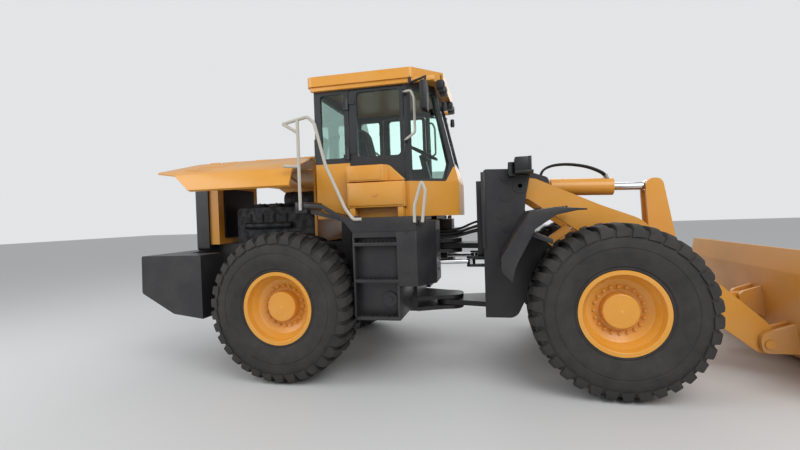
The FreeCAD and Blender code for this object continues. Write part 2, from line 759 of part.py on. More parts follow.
def cab():
    """Cab base, frame, roof, glass and doors, cut from one leaning shell."""
    sill, floor, roof_z, wall = D.cab_sill_z, cab_floor_z, D.cab_roof_z, D.cab_wall
    shell = new_body("cab_shell")
    flat_plate(shell, cab_plan(0, D.cab_nose_x), floor, sill - floor)
    cab_loft(shell, 0, sill, roof_z, "Additive")
    flat_plate(shell, cab_plan(wall, D.cab_nose_x), floor + D.cab_floor_sheet, sill - floor - D.cab_floor_sheet,
               kind="Pocket")
    cab_loft(shell, wall, sill, roof_z, "Subtractive")

    pane = new_body("cab_pane_shell")
    middle = wall / 2
    cab_loft(pane, middle - D.cab_glass / 2, sill, roof_z, "Additive")
    cab_loft(pane, middle + D.cab_glass / 2, sill, roof_z, "Subtractive")

    doorway = new_body("cab_doorway")
    opening = side_plate(doorway, block(D.door_rear_x, D.door_front_x, D.door_foot_z, D.door_top_z, 30),
                         D.cab_half_width - wall * 2, wall * 4)
    mirror_sides(doorway, [opening])

    lower = new_body("cab_lower_region")
    reach = 200
    middle_plate(lower, [
        (D.cab_rear_x - reach, floor - reach), (D.cab_nose_x + reach, floor - reach),
        (D.cab_nose_x + reach, D.cab_nose_z), (D.cab_step_x + 60, D.cab_nose_z, 30), (D.cab_step_x - 20, sill, 30),
        (D.door_rear_x, sill), (D.door_rear_x, D.cab_rear_sill_z), (D.cab_rear_x - reach, D.cab_rear_sill_z),
    ], D.cab_half_width * 2 + reach)

    windows = cab_windows()
    open_shell = doc.addObject("Part::Cut", "cab_shell_with_doorways")
    open_shell.Base, open_shell.Tool = shell, doorway
    base = doc.addObject("Part::Common", "cab_base")
    base.Base, base.Tool = open_shell, lower
    keep(base, "cab_base")
    upper = doc.addObject("Part::Cut", "cab_upper_shell")
    upper.Base, upper.Tool = open_shell, lower
    framed = doc.addObject("Part::Cut", "cab_frame_walls")
    framed.Base, framed.Tool = upper, windows
    knuckles = new_body("cab_frame_knuckles")
    for side in (1, -1):
        cab_hinges(knuckles, side, 0, door_hinge_x - 6, door_hinge_x - 60)
    frame = doc.addObject("Part::Fuse", "cab_frame")
    frame.Base, frame.Tool = framed, knuckles
    keep(frame, "cab_frame")
    glass = doc.addObject("Part::Common", "cab_glass")
    glass.Base, glass.Tool = pane, windows
    keep(glass, "cab_glass")
    cab_roof()
    for name, side in (("left", 1), ("right", -1)):
        cab_door(name, side)


def cab_roof():
    """Roof slab with its rounded corners."""
    roof = new_body("cab_roof")
    over = D.roof_overhang
    half, nose = D.cab_half_width + over, D.cab_nose_half_width + over * 2
    front = D.cab_nose_top_x + over * 2
    flat_plate(roof, [
        (D.cab_rear_x - over, -half, 60), (D.cab_side_x + over, -half, 60), (front, -nose, 60), (front, nose, 60),
        (D.cab_side_x + over, half, 60), (D.cab_rear_x - over, half, 60),
    ], D.cab_roof_z, D.roof_thickness)
    keep(roof)


def cab_door(name, side):
    """Door leaf with its bulged lower skin and its window."""
    gap, wall = D.door_gap, D.cab_wall
    leaf = new_body("cab_door_" + name)
    inner_y = (D.cab_half_width - wall) if side > 0 else -D.cab_half_width
    rear, front = D.door_rear_x + gap, D.door_front_x - gap
    foot, top = D.door_foot_z + gap, D.door_top_z - gap
    side_plate(leaf, block(rear, front, foot, top, 28), inner_y, wall)
    hole = block(D.door_rear_x + 95, D.door_front_x - 50, D.cab_window_foot_z, D.cab_window_top_z, 40)
    side_plate(leaf, hole, inner_y, wall, kind="Pocket")
    cab_hinges(leaf, side, D.door_hinge_length + D.seat_gap, D.door_rear_x + 12, door_hinge_x + 90)
    keep(leaf)
    skin = new_body("cab_door_skin_" + name)
    skin_y = D.cab_half_width if side > 0 else -D.cab_half_width - D.door_bulge
    side_plate(skin, [
        (rear + 30, foot, 40), (front, foot, 40), (front, foot + 270, 60), (front - 130, D.cab_rear_sill_z, 60),
        (rear + 30, D.cab_rear_sill_z, 60),
    ], skin_y, D.door_bulge)
    keep(skin)
    window = new_body("cab_door_glass_" + name)
    side_plate(window, hole, inner_y + wall / 2 - D.cab_glass / 2, D.cab_glass)
    keep(window)


def seat():
    """Driver's seat on its pedestal."""
    pedestal = new_body("seat_base")
    floor = cab_inside_z
    back = D.cab_rear_x + 295
    top = floor + D.seat_base_height
    middle_plate(pedestal, block(back + 100, back + 500, floor, top, 20), D.seat_width - 120)
    keep(pedestal)
    cushion = new_body("seat")
    under = top + D.seat_gap
    middle_plate(cushion, [
        (back + 560, under, 40), (back + 560, top + 110, 50), (back + 180, top + 120, 30),
        (back + 100, under + D.seat_back_height, 50), (back, under + D.seat_back_height, 40), (back + 60, under, 30),
    ], D.seat_width)
    keep(cushion)


def controls():
    """Steering column with its wheel, and the console beside the seat."""
    column = new_body("steering_column")
    floor = cab_inside_z
    foot = D.cab_side_x + 150
    middle_plate(column, [
        (foot, floor), (foot + 80, floor), (foot - 100, floor + 720), (foot - 160, floor + 700),
    ], 160)
    keep(column)


def tower():
    """Front frame: four upright plates, hinge lugs behind and the axle seat in front."""
    body = new_body("front_chassis")
    rear, front, top, foot = D.tower_rear_x, D.tower_front_x, D.tower_top_z, D.tower_foot_z
    ahead = D.front_axle_x + 320
    corners = [
        (rear, foot), (rear + 330, foot, 120), (rear + 520, axle_seat_z, 120), (ahead, axle_seat_z),
        (ahead, axle_seat_z + 110, 60), (front + 380, axle_seat_z + 200, 200), (front - 90, top - 590, 60),
        (front - 60, top - 310), (front, top - 20, 40), (rear + 10, top, 40),
    ]
    outer = side_plate(body, corners, D.tower_outer_y - D.tower_plate, D.tower_plate)
    nose = corners[:-3] + [
        (front - 60, top - 310), (D.tilt_pin_x + 90, D.tilt_pin_z - 90, 60), (D.tilt_pin_x + 90, D.tilt_pin_z + 90, 60),
        (front, top - 20, 40), (rear + 10, top, 40),
    ]
    inner = side_plate(body, nose, D.tower_inner_y, D.tower_inner_plate)
    mirror_sides(body, [outer, inner])
    wall = D.tower_outer_y
    cross_plate(body, block(-wall + 5, wall - 5, foot, top - 700), rear, 40)
    shelf = flat_plate(body, block(rear + 600, ahead, D.tower_inner_y + 5, wall - 5), axle_seat_z, 40)
    mirror_sides(body, [shelf])
    level = D.hinge_lug_thickness
    edge = D.hinge_lug_radius
    for z in (D.hinge_upper_z, D.hinge_lower_z):
        flat_plate(body, [
            (rear + 10, 300), (rear + 10, -300), (pivot_x, -edge - 20, 80), (pivot_x - edge, -edge, edge * 0.99),
            (pivot_x - edge, edge, edge * 0.99), (pivot_x, edge + 20, 80),
        ], z - level / 2, level, circles=[(pivot_x, 0, D.hinge_pin_diameter / 2 + D.running_gap)])
    # pin place along X and Z, inner end, outer end, pin radius
    for x, z, inner_y, outer_y, radius in (
        (D.boom_pin_x, D.boom_pin_z, D.tower_inner_y, D.tower_outer_y + 20, D.pin_diameter / 2),
        (D.lift_pin_x, D.lift_pin_z, D.tower_inner_y, D.tower_outer_y - 5, D.pin_diameter / 2 - 5),
    ):
        pin = draw(body, "XZ_Plane", circles=[(x, z, radius)], shift=-outer_y)
        mirror_sides(body, [pad(body, pin, outer_y - inner_y)])
    pin = draw(body, "XZ_Plane", circles=[(D.tilt_pin_x, D.tilt_pin_z, D.pin_diameter / 2 - 5)])
    pad(body, pin, D.tower_inner_y * 2 + 10, both=True)
    eye_x = pivot_x + D.steer_eye_ahead
    for foot_z in (D.steer_z + 35, D.steer_z - 60):
        ear = draw(body, "XY_Plane", [
            (rear + 5, D.steer_eye_y - 60), (rear + 5, D.steer_eye_y + 60), (eye_x - 55, D.steer_eye_y + 50, 45),
            (eye_x - 55, D.steer_eye_y - 50, 45),
        ], shift=foot_z)
        mirror_sides(body, [pad(body, ear, 25)])
    return keep(body)


def boom():
    """Two arms bent over the front axle, joined by a cross tube that carries the rocker."""
    body = new_body("boom")
    ax, az = D.boom_pin_x, D.boom_pin_z
    bx, bz = D.bucket_pin_x, D.bucket_pin_z
    cx, cz = D.rocker_pin_x, D.rocker_pin_z
    root = D.boss_diameter / 2 + 25
    tip = 105
    corners = [
        (ax - root, az + root, root * 0.9), (ax + 170, az + 75, 60), (ax + 820, az - 235), (ax + 1200, az - 390, 350),
        (ax + 1625, az - 810, 500), (bx + 5, bz + 210, 300), (bx + tip, bz + 60, 60), (bx + tip, bz - tip, tip * 0.95),
        (bx - 60, bz - tip, 80), (ax + 1600, az - 1250, 400), (ax + 1100, az - 800, 300), (ax + 560, az - 480, 150),
        (ax + 80, az - 135, 100), (ax - root, az - root, root * 0.9),
    ]
    arm = side_plate(body, corners, D.boom_arm_y, D.boom_arm_plate,
                     circles=[(ax, az, D.pin_diameter / 2 + D.running_gap)])
    mirror_sides(body, [arm])
    width = (D.boom_arm_y + 10) * 2
    tube = draw(body, "XZ_Plane", circles=[(cx - D.boom_tube_back, cz - 50, D.boom_tube_diameter / 2)])
    pad(body, tube, width, both=True)
    ears = side_plate(body, [
        (cx - D.boom_tube_back, cz - 130), (cx + 60, cz - 95, 60), (cx + 95, cz + 95, 90),
        (cx - 60, cz + 100, 90), (cx - D.boom_tube_back, cz + 40),
    ], 120, 45)
    mirror_sides(body, [ears])
    pin = draw(body, "XZ_Plane", circles=[(cx, cz, D.rocker_pin_diameter / 2)])
    pad(body, pin, 350, both=True)
    pivot = draw(body, "XZ_Plane", circles=[(bx, bz, D.pin_diameter / 2)],
                 shift=-(D.boom_arm_y + D.boom_arm_plate + 75))
    mirror_sides(body, [pad(body, pivot, D.boom_arm_plate + 150)])
    return keep(body)


def rocker():
    """Bellcrank between boom and bucket link: two shaped plates on a hub."""
    body = new_body("rocker")
    tx, tz = D.rocker_top_x, D.rocker_top_z
    cx, cz = D.rocker_pin_x, D.rocker_pin_z
    fx, fz = D.rocker_foot_x, D.rocker_foot_z
    hole = D.rocker_pin_diameter / 2 + D.running_gap
    corners = [
        (tx - 85, tz + 85, 80), (tx + 85, tz + 85, 80), (cx + 150, cz + 60, 250), (fx + 85, fz + 60, 60),
        (fx + 85, fz - 85, 80), (fx - 85, fz - 85, 80), (cx - 120, cz - 100, 250), (tx - 85, tz - 60, 60),
    ]
    plates = side_plate(body, corners, 65, 40, circles=[(cx, cz, hole)])
    mirror_sides(body, [plates])
    hub = draw(body, "XZ_Plane", circles=[(cx, cz, 100), (cx, cz, hole)])
    pad(body, hub, 210, both=True)
    return keep(body)


def link():
    """Short link from the rocker's foot to the bucket."""
    body = new_body("bucket_link")
    fx, fz = D.rocker_foot_x, D.rocker_foot_z
    bx, bz = D.bucket_link_x, D.bucket_link_z
    middle_plate(body, strap(fx, fz, bx, bz, D.link_radius), D.link_width,
                 circles=[(bx, bz, D.link_pin_diameter / 2 + D.running_gap)])
    pin = draw(body, "XZ_Plane", circles=[(fx, fz, D.link_pin_diameter / 2)])
    pad(body, pin, D.link_width + 24, both=True)
    return keep(body)


def bucket():
    """Bucket shell bent from one plate, its side plates, cutting edge, guard and ears."""
    body = new_body("bucket")
    edge, back, top = D.bucket_edge_x, D.bucket_back_x, D.bucket_top_z
    low, wall = D.bucket_ground_gap, D.bucket_plate
    half = D.bucket_half_width
    middle_plate(body, [
        (edge, low), (edge - 50, low + 40), (back + 330, low + wall + 10, 330), (back + wall, low + 420, 250),
        (back - 60 + wall, top - 230, 80), (back - 20 + wall, top), (back - 20, top), (back - 60, top - 230, 110),
        (back, low + 400, 280), (back + 320, low, 350),
    ], half * 2)
    cheek = side_plate(body, [
        (edge - 110, low), (edge - 110, low + 60), (back + 640, top - 120, 120), (back + 200, top - 20, 80),
        (back - 20, top), (back - 60, top - 230, 110), (back, low + 400, 280), (back + 320, low, 350),
    ], half - wall, wall)
    bx, bz = D.bucket_pin_x, D.bucket_pin_z
    kx, kz = D.bucket_link_x, D.bucket_link_z
    ears = side_plate(body, [
        (back + 12, bz - 90), (bx - 60, bz - 90, 70), (bx - 80, bz + 90, 80), (back + 8, bz + 200),
    ], D.boom_arm_y - D.moving_gap - 50, 50, circles=[(bx, bz, 45 + D.running_gap)])
    outer = side_plate(body, [
        (back + 12, bz - 90), (bx - 60, bz - 90, 70), (bx - 80, bz + 90, 80), (back + 8, bz + 200),
    ], D.boom_arm_y + D.boom_arm_plate + D.moving_gap, 50, circles=[(bx, bz, 45 + D.running_gap)])
    link_ears = side_plate(body, [
        (back + 12, kz - 190), (kx - 70, kz - 80, 70), (kx - 70, kz + 80, 70), (back - 10, kz + 160),
    ], 65, 45)
    mirror_sides(body, [cheek, ears, outer, link_ears])
    pin = draw(body, "XZ_Plane", circles=[(kx, kz, D.link_pin_diameter / 2)])
    pad(body, pin, 220, both=True)
    return keep(body)


def ram(name, base, eye, barrel_radius, rod_radius, closed, rod_start, eye_width, pin_radius, upright=True):
    """Barrel and rod of a cylinder, modelled along local X from the base pin, then turned into place."""
    run, rise = eye[0] - base[0], eye[1] - base[1]
    long = distance(run, rise)
    lug = barrel_radius * 0.95
    barrel = new_body(name + "_barrel")
    rod = new_body(name + "_rod")
    hole = rod_radius + D.seat_gap
    start = lug * 1.5
    plane = "XZ_Plane" if upright else "XY_Plane"
    ends = draw(barrel, plane, block(-lug, start + 20, -lug, lug, lug * 0.98))
    pad(barrel, ends, eye_width, both=True)
    spin(barrel, draw(barrel, "XY_Plane", [
        (start, 0), (start, barrel_radius), (closed, barrel_radius), (closed, hole), (start + 60, hole), (start + 60, 0),
    ]))
    eye_hole = draw(barrel, plane, circles=[(0, 0, pin_radius + D.running_gap)])
    pad(barrel, eye_hole, eye_width * 2, both=True, kind="Pocket")
    spin(rod, draw(rod, "XY_Plane", [
        (rod_start, 0), (rod_start, rod_radius), (long, rod_radius), (long, 0),
    ]))
    tip = rod_radius * 1.7
    ends = draw(rod, plane, block(long - tip * 1.2, long + tip, -tip, tip, tip * 0.98))
    pad(rod, ends, eye_width, both=True)
    return barrel, rod, run, rise


def place_along(body, base_x, base_y, base_z, axis, angle):
    body.Placement = FreeCAD.Placement(Vector(0, 0, 0), FreeCAD.Rotation(axis, 10))
    bind(body, "Placement.Base.x", base_x)
    bind(body, "Placement.Base.y", base_y)
    bind(body, "Placement.Base.z", base_z)
    bind(body, "Placement.Rotation.Angle", angle)


def cylinders():
    """Tilt cylinder in the middle, a pair of lift cylinders, and a steering cylinder each side."""
    down = Vector(0, -1, 0)
    base, eye = (D.tilt_pin_x, D.tilt_pin_z), (D.rocker_top_x, D.rocker_top_z)
    barrel, rod, run, rise = ram("tilt", base, eye, D.tilt_barrel_diameter / 2, D.tilt_rod_diameter / 2,
                                 D.tilt_closed, D.tilt_rod_start, 100, D.pin_diameter / 2 - 5)
    for body in (barrel, rod):
        place_along(body, base[0], 0, base[1], Vector(0, 1, 0), heading(run, -rise))
        keep(body)
    base, eye = (D.lift_pin_x, D.lift_pin_z), (D.lift_eye_x, D.lift_eye_z)
    for name in ("left", "right"):
        side = 1 if name == "left" else -1
        barrel, rod, run, rise = ram("lift_" + name, base, eye, D.lift_barrel_diameter / 2,
                                     D.lift_rod_diameter / 2, D.lift_closed, D.lift_rod_start, 70, D.pin_diameter / 2 - 5)
        for body in (barrel, rod):
            place_along(body, base[0], D.lift_y * side, base[1], down, heading(run, rise))
            keep(body)
    for name, side in (("left", 1), ("right", -1)):
        start = (pivot_x - D.steer_base_back, D.steer_base_y * side)
        finish = (pivot_x + D.steer_eye_ahead, D.steer_eye_y * side)
        barrel, rod, run, rise = ram("steer_" + name, start, finish, D.steer_barrel_diameter / 2,
                                     D.steer_rod_diameter / 2, D.steer_closed, D.steer_rod_start, 60, D.steer_pin_diameter / 2,
                                     upright=False)
        for body in (barrel, rod):
            place_along(body, start[0], start[1], D.steer_z, Vector(0, 0, 1), heading(run, rise))
            keep(body)


def front_fenders():
    """Bent mudguard behind and over each front wheel."""
    body = new_body("front_fenders")
    wall = D.fender_sheet
    x, z, crown = D.front_axle_x, axle_z, D.tyre_diameter / 2
    strip = side_plate(body, [
        (x - crown - 150, z + 280), (x - crown - 200, z + 440), (x - crown - 110, z + 580), (x - 610, z + crown + 110),
        (x - 260, z + crown + 150), (x - 260, z + crown + 150 + wall), (x - 620, z + crown + 110 + wall),
        (x - crown - 120, z + 590 + wall), (x - crown - 200 - wall, z + 445), (x - crown - 150 - wall, z + 280),
    ], D.tower_outer_y, D.fender_outer_y - D.tower_outer_y)
    mirror_sides(body, [strip])
    return keep(body)


def lamps():
    """Work lamps on the outer face of the tower."""
    body = new_body("head_lamps")
    box = side_plate(body, block(D.tower_front_x - 150, D.tower_front_x - 10, D.tower_top_z - 110,
                                 D.tower_top_z + 30, 20), D.tower_outer_y, 140)
    mirror_sides(body, [box])
    return keep(body)


tyre_and_rim()
axle("front_axle", D.front_axle_x, -1)
axle("rear_axle", rear_axle_x, 1)
rear_chassis()
counterweight()
engine()
radiator()
rear_guard()
hood()
hood_door("hood_door_left", 1)
hood_door("hood_door_right", -1)
deck()
tank("tank_left", 1)
tank("tank_right", -1)
cab()
seat()
controls()
tower()
boom()
rocker()
link()
bucket()
cylinders()
front_fenders()
lamps()

doc.recompute()

for item in doc.Objects:
    if "Invalid" in item.State or "Error" in item.State:
        raise RuntimeError("failed: %s %s" % (item.Label, item.State))
os.makedirs("parts", exist_ok=True)
for item in parts:
    shape = item.Shape
    if shape.isNull() or not shape.isValid():
        raise RuntimeError("bad shape: " + item.Label)
    shape.exportStep(os.path.join("parts", item.Label + ".step"))
print("pieces", len(parts))
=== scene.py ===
"""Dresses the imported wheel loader: tyres, glass, hoses, rails, trim, finishes, light and camera."""
import json
import logging
import math
from collections.abc import Iterable
from dataclasses import dataclass, field
from enum import Enum

import bmesh
import bpy
from mathutils import Matrix, Vector

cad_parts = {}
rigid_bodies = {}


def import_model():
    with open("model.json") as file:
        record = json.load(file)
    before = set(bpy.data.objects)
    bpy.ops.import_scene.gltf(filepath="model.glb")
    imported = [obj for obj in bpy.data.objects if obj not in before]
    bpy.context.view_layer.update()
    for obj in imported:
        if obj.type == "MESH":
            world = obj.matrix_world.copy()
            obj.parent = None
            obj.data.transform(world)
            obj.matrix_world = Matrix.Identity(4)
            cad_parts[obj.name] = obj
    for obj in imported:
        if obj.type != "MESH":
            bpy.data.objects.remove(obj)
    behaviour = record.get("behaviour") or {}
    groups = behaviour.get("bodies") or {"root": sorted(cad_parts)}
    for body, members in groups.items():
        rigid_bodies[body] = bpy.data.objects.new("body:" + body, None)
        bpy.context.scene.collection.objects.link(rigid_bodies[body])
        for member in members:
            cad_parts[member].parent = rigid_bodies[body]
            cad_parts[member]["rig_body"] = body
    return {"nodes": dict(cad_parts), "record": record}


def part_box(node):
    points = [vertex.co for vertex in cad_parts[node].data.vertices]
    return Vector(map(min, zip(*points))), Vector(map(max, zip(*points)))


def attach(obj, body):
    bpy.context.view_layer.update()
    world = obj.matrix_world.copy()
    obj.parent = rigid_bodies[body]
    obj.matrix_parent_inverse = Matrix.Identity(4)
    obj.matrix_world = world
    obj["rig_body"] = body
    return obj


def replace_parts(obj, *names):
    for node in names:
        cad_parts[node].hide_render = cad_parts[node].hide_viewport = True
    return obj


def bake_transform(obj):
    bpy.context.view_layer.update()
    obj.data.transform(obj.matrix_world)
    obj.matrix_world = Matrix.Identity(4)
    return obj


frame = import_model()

log = logging.getLogger("loader")
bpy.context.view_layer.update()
SHARP_ANGLE = math.radians(34)
SOLID_SHARP_ANGLE = math.radians(32)
Point = tuple[float, float, float]
Colour = tuple[float, float, float, float]
Outline = list[tuple[float, float]]
Verts = list[bmesh.types.BMVert]
Socket = bpy.types.NodeSocket


class Side(Enum):
    """Side of the machine, as the driver sees it."""

    LEFT = 1
    RIGHT = -1


class Axis(Enum):
    """Axis that a round shape turns about."""

    X = (1.0, 0.0, 0.0)
    Y = (0.0, 1.0, 0.0)
    Z = (0.0, 0.0, 1.0)


def srgb(code: str) -> Colour:
    """Turn an sRGB hex value into the linear colour that shaders use.

    Args:
        code: Six hex digits.

    Returns:
        Linear red, green and blue, and full opacity.
    """
    parts = [int(code[i:i + 2], 16) / 255 for i in (0, 2, 4)]
    linear = [c / 12.92 if c <= 0.04045 else ((c + 0.055) / 1.055) ** 2.4 for c in parts]
    return linear[0], linear[1], linear[2], 1.0


def place_in_scene(name: str, data: bpy.types.ID) -> bpy.types.Object:
    """Put a mesh, curve, lamp or camera into the scene.

    Args:
        name: Name of the object.
        data: What the object holds.

    Returns:
        The new object.
    """
    made = bpy.data.objects.new(name, data)
    bpy.context.scene.collection.objects.link(made)
    return made


def node(tree: bpy.types.NodeTree, kind: str, links: dict | None = None,
         **settings: object) -> bpy.types.Node:
    """Add one shader node with its settings and links.

    Args:
        tree: Node tree that gets the node.
        kind: Blender's type name of the node.
        links: Input socket name or number, to the output socket that feeds it.
        settings: Attributes of the node, or values of its inputs where the name starts with in_.

    Returns:
        The new node.
    """
    made = tree.nodes.new(kind)
    for name, value in settings.items():
        if name.startswith("in_"):
            key = name[3:].replace("_", " ")
            socket = made.inputs[int(key)] if key.isdigit() else made.inputs[key]
            socket.default_value = value
        else:
            setattr(made, name, value)
    for name, source in (links or {}).items():
        tree.links.new(source, made.inputs[name])
    return made


class Wiring:
    """A material in the making, with the calls that its finishes share."""

    def __init__(self, name: str) -> None:
        """Start a node material.

        Args:
            name: Name of the material.
        """
        self.made = bpy.data.materials.new(name)
        self.made.use_nodes = True
        self.tree = self.made.node_tree
        self.shader = self.tree.nodes["Principled BSDF"]
        self.place = self.add("TexCoord").outputs["Object"]

    def add(self, kind: str, links: dict | None = None, **settings: object) -> bpy.types.Node:
        """Add a shader node, as node() does.

        Args:
            kind: Blender's type name, without what all of them start with.
            links: Input socket to the output that feeds it.
            settings: Attributes, or input values where the name starts with in_.

        Returns:
            The new node.
        """
        return node(self.tree, "ShaderNode" + kind, links, **settings)

    def set(self, **values: object) -> None:
        """Set inputs of the surface shader.

        Args:
            values: Input name, with underscores for spaces, and its value.
        """
        for name, value in values.items():
            self.shader.inputs[name.replace("_", " ")].default_value = value

    def feed(self, name: str, output: Socket) -> None:
        """Drive an input of the surface shader.

        Args:
            name: Name of the input.
            output: Socket that feeds it.
        """
        self.tree.links.new(output, self.shader.inputs[name])

    def noise(self, scale: float, detail: float, **more: float) -> Socket:
        """Add noise in the machine's own coordinates.

        Args:
            scale: Scale of the noise, per metre.
            detail: Number of finer layers.
            more: Other input values.

        Returns:
            Its value.
        """
        made = self.add("TexNoise", {"Vector": self.place}, in_Scale=scale, in_Detail=detail, **more)
        return made.outputs["Fac"]

    def span(self, value: Socket, low: float, high: float, start: float,
             end: float) -> Socket:
        """Map one range of values onto another.

        Args:
            value: Value to map.
            low: Value that gives the start.
            high: Value that gives the end.
            start: Result at the low value.
            end: Result at the high value.

        Returns:
            The mapped value.
        """
        return self.add("MapRange", {"Value": value}, in_1=low, in_2=high, in_3=start, in_4=end).outputs[0]

    def ramp(self, value: Socket, *stops: tuple[float, Colour]) -> Socket:
        """Turn a value into a colour.

        Args:
            value: Value from 0 to 1.
            stops: Place and colour of the ramp's two stops.

        Returns:
            The colour.
        """
        made = self.add("ValToRGB", {0: value})
        for element, (place, colour) in zip(made.color_ramp.elements, stops):
            element.position, element.color = place, colour
        return made.outputs["Color"]

    def combine(self, operation: str, first: Socket, second: Socket | float, clamp: bool = False) -> Socket:
        """Combine two values.

        Args:
            operation: Blender's name of the operation.
            first: First value.
            second: Second value, or a number.
            clamp: Whether the result stays from 0 to 1.

        Returns:
            The result.
        """
        if isinstance(second, float):
            made = self.add("Math", {0: first}, operation=operation, use_clamp=clamp, in_1=second)
        else:
            made = self.add("Math", {0: first, 1: second}, operation=operation, use_clamp=clamp)
        return made.outputs[0]

    def bump(self, height: Socket, strength: float, distance: float = 0.001) -> None:
        """Raise the surface by a value.

        Args:
            height: Value that raises it.
            strength: Strength of the effect.
            distance: Height of a full step, in metres.
        """
        made = self.add("Bump", {"Height": height}, in_Strength=strength, in_Distance=distance)
        self.feed("Normal", made.outputs[0])


@dataclass(frozen=True)
class Enamel:
    """Sprayed enamel on plate: even gloss, faint orange peel, dust that settles and gathers low down."""

    name: str
    colour: str
    dust: str = "A89C8C"
    dust_share: float = 0.12
    roughness: float = 0.34
    coat: float = 0.25
    peel_mm: float = 9.0
    dust_height: float = 1.1

    def material(self) -> bpy.types.Material:
        """Build the material.

        Returns:
            The enamel as a node material.
        """
        wiring = Wiring(self.name)
        wiring.set(Coat_Weight=self.coat, Coat_Roughness=0.18)
        height = wiring.add("SeparateXYZ", {0: wiring.place}).outputs["Z"]
        low = wiring.span(height, 0.0, self.dust_height, 0.75, 0.0)
        blotch = wiring.noise(2.6, 7.0, in_Roughness=0.62)
        speck = wiring.noise(38.0, 4.0)
        patches = wiring.ramp(blotch, (0.42, (0, 0, 0, 1)), (0.72, (1, 1, 1, 1)))
        spots = wiring.combine("MULTIPLY", patches, speck)
        spread = wiring.combine("MULTIPLY", spots, self.dust_share * 2)
        sheltered = wiring.combine("MULTIPLY", low, patches)
        faded = wiring.combine("MULTIPLY", sheltered, self.dust_share)
        total = wiring.combine("ADD", spread, faded, clamp=True)
        lift = wiring.span(blotch, 0.3, 0.7, 0.94, 1.05)
        shift = wiring.add("HueSaturation", {"Value": lift}, in_Color=srgb(self.colour))
        mix = wiring.add("Mix", {0: total, 6: shift.outputs["Color"]}, data_type="RGBA",
                         in_7=srgb(self.dust))
        wiring.feed("Base Color", mix.outputs[2])
        wiring.feed("Roughness", wiring.span(total, 0.0, 0.4, self.roughness, 0.78))
        wiring.bump(wiring.noise(1000 / self.peel_mm, 2.0), 0.05)
        return wiring.made


@dataclass(frozen=True)
class Rubber:
    """Moulded rubber: matt and near black, with pale dust rubbed onto what touches the ground."""

    name: str = "moulded_rubber"
    colour: str = "202123"
    dust: str = "6E675F"
    dusty: float = 0.25
    roughness: float = 0.72

    def material(self) -> bpy.types.Material:
        """Build the material.

        Returns:
            The rubber as a node material.
        """
        wiring = Wiring(self.name)
        cloud = wiring.noise(5.0, 8.0, in_Roughness=0.7)
        share = wiring.span(cloud, 0.35, 0.75, self.dusty * 0.3, self.dusty)
        mix = wiring.add("Mix", {0: share}, data_type="RGBA", in_6=srgb(self.colour), in_7=srgb(self.dust))
        wiring.feed("Base Color", mix.outputs[2])
        wiring.set(Roughness=self.roughness, Specular_IOR_Level=0.35)
        wiring.bump(wiring.noise(160.0, 3.0), 0.25)
        return wiring.made


@dataclass(frozen=True)
class Metal:
    """Bare or plated metal: mirror-bright when chromed, rougher and blotched when cast or worn."""

    name: str
    colour: str
    dark: str
    roughness: float = 0.15
    blotch_mm: float = 60.0
    metallic: float = 1.0

    def material(self) -> bpy.types.Material:
        """Build the material.

        Returns:
            The metal as a node material.
        """
        wiring = Wiring(self.name)
        wiring.set(Metallic=self.metallic)
        cloud = wiring.noise(1000 / self.blotch_mm, 6.0)
        wiring.feed("Base Color", wiring.ramp(cloud, (0.38, srgb(self.dark)), (0.6, srgb(self.colour))))
        wiring.feed("Roughness", wiring.span(cloud, 0.0, 1.0, self.roughness * 1.5, self.roughness * 0.7))
        wiring.bump(cloud, 0.1)
        return wiring.made


@dataclass(frozen=True)
class Plastic:
    """Moulded plastic or lamp lens: one dye, fine moulded grain, soft shine."""

    name: str
    colour: str
    roughness: float = 0.5
    grain_mm: float = 2.0
    glow: float = 0.0

    def material(self) -> bpy.types.Material:
        """Build the material.

        Returns:
            The plastic as a node material.
        """
        wiring = Wiring(self.name)
        shade = wiring.span(wiring.noise(14.0, 5.0), 0.0, 1.0, 0.86, 1.12)
        tone = wiring.add("HueSaturation", {"Value": shade}, in_Color=srgb(self.colour))
        wiring.feed("Base Color", tone.outputs["Color"])
        wiring.set(Roughness=self.roughness)
        wiring.bump(wiring.noise(1000 / self.grain_mm, 2.0), 0.12, 0.0005)
        if self.glow:
            wiring.set(Emission_Color=srgb(self.colour), Emission_Strength=self.glow)
        return wiring.made


@dataclass(frozen=True)
class Glazing:
    """Float glass with a faint green body colour: clear, glossy, with a thin film of dust."""

    name: str = "tinted_float_glass"
    colour: str = "C9DCD6"

    def material(self) -> bpy.types.Material:
        """Build the material.

        Returns:
            The glass as a node material.
        """
        wiring = Wiring(self.name)
        wiring.set(Base_Color=srgb(self.colour), Transmission_Weight=1.0, IOR=1.45)
        film = wiring.noise(3.0, 8.0, in_Roughness=0.7)
        wiring.feed("Roughness", wiring.span(film, 0.4, 0.8, 0.0, 0.06))
        return wiring.made


@dataclass(frozen=True)
class Cloth:
    """Woven seat cloth: dark yarn crossed in a plain weave, soft and without shine."""

    name: str = "woven_seat_cloth"
    colour: str = "2B2C30"
    light: str = "45474D"
    yarn_mm: float = 4.0

    def material(self) -> bpy.types.Material:
        """Build the material.

        Returns:
            The cloth as a node material.
        """
        wiring = Wiring(self.name)
        wiring.set(Roughness=0.92, Sheen_Weight=0.35)
        waves = [wiring.add("TexWave", {"Vector": wiring.place}, bands_direction=way,
                            in_Scale=314 / self.yarn_mm / 2).outputs["Fac"] for way in ("X", "Y")]
        weave = wiring.combine("MULTIPLY", *waves)
        wiring.feed("Base Color", wiring.ramp(weave, (0.1, srgb(self.colour)), (0.9, srgb(self.light))))
        wiring.bump(weave, 0.4)
        return wiring.made


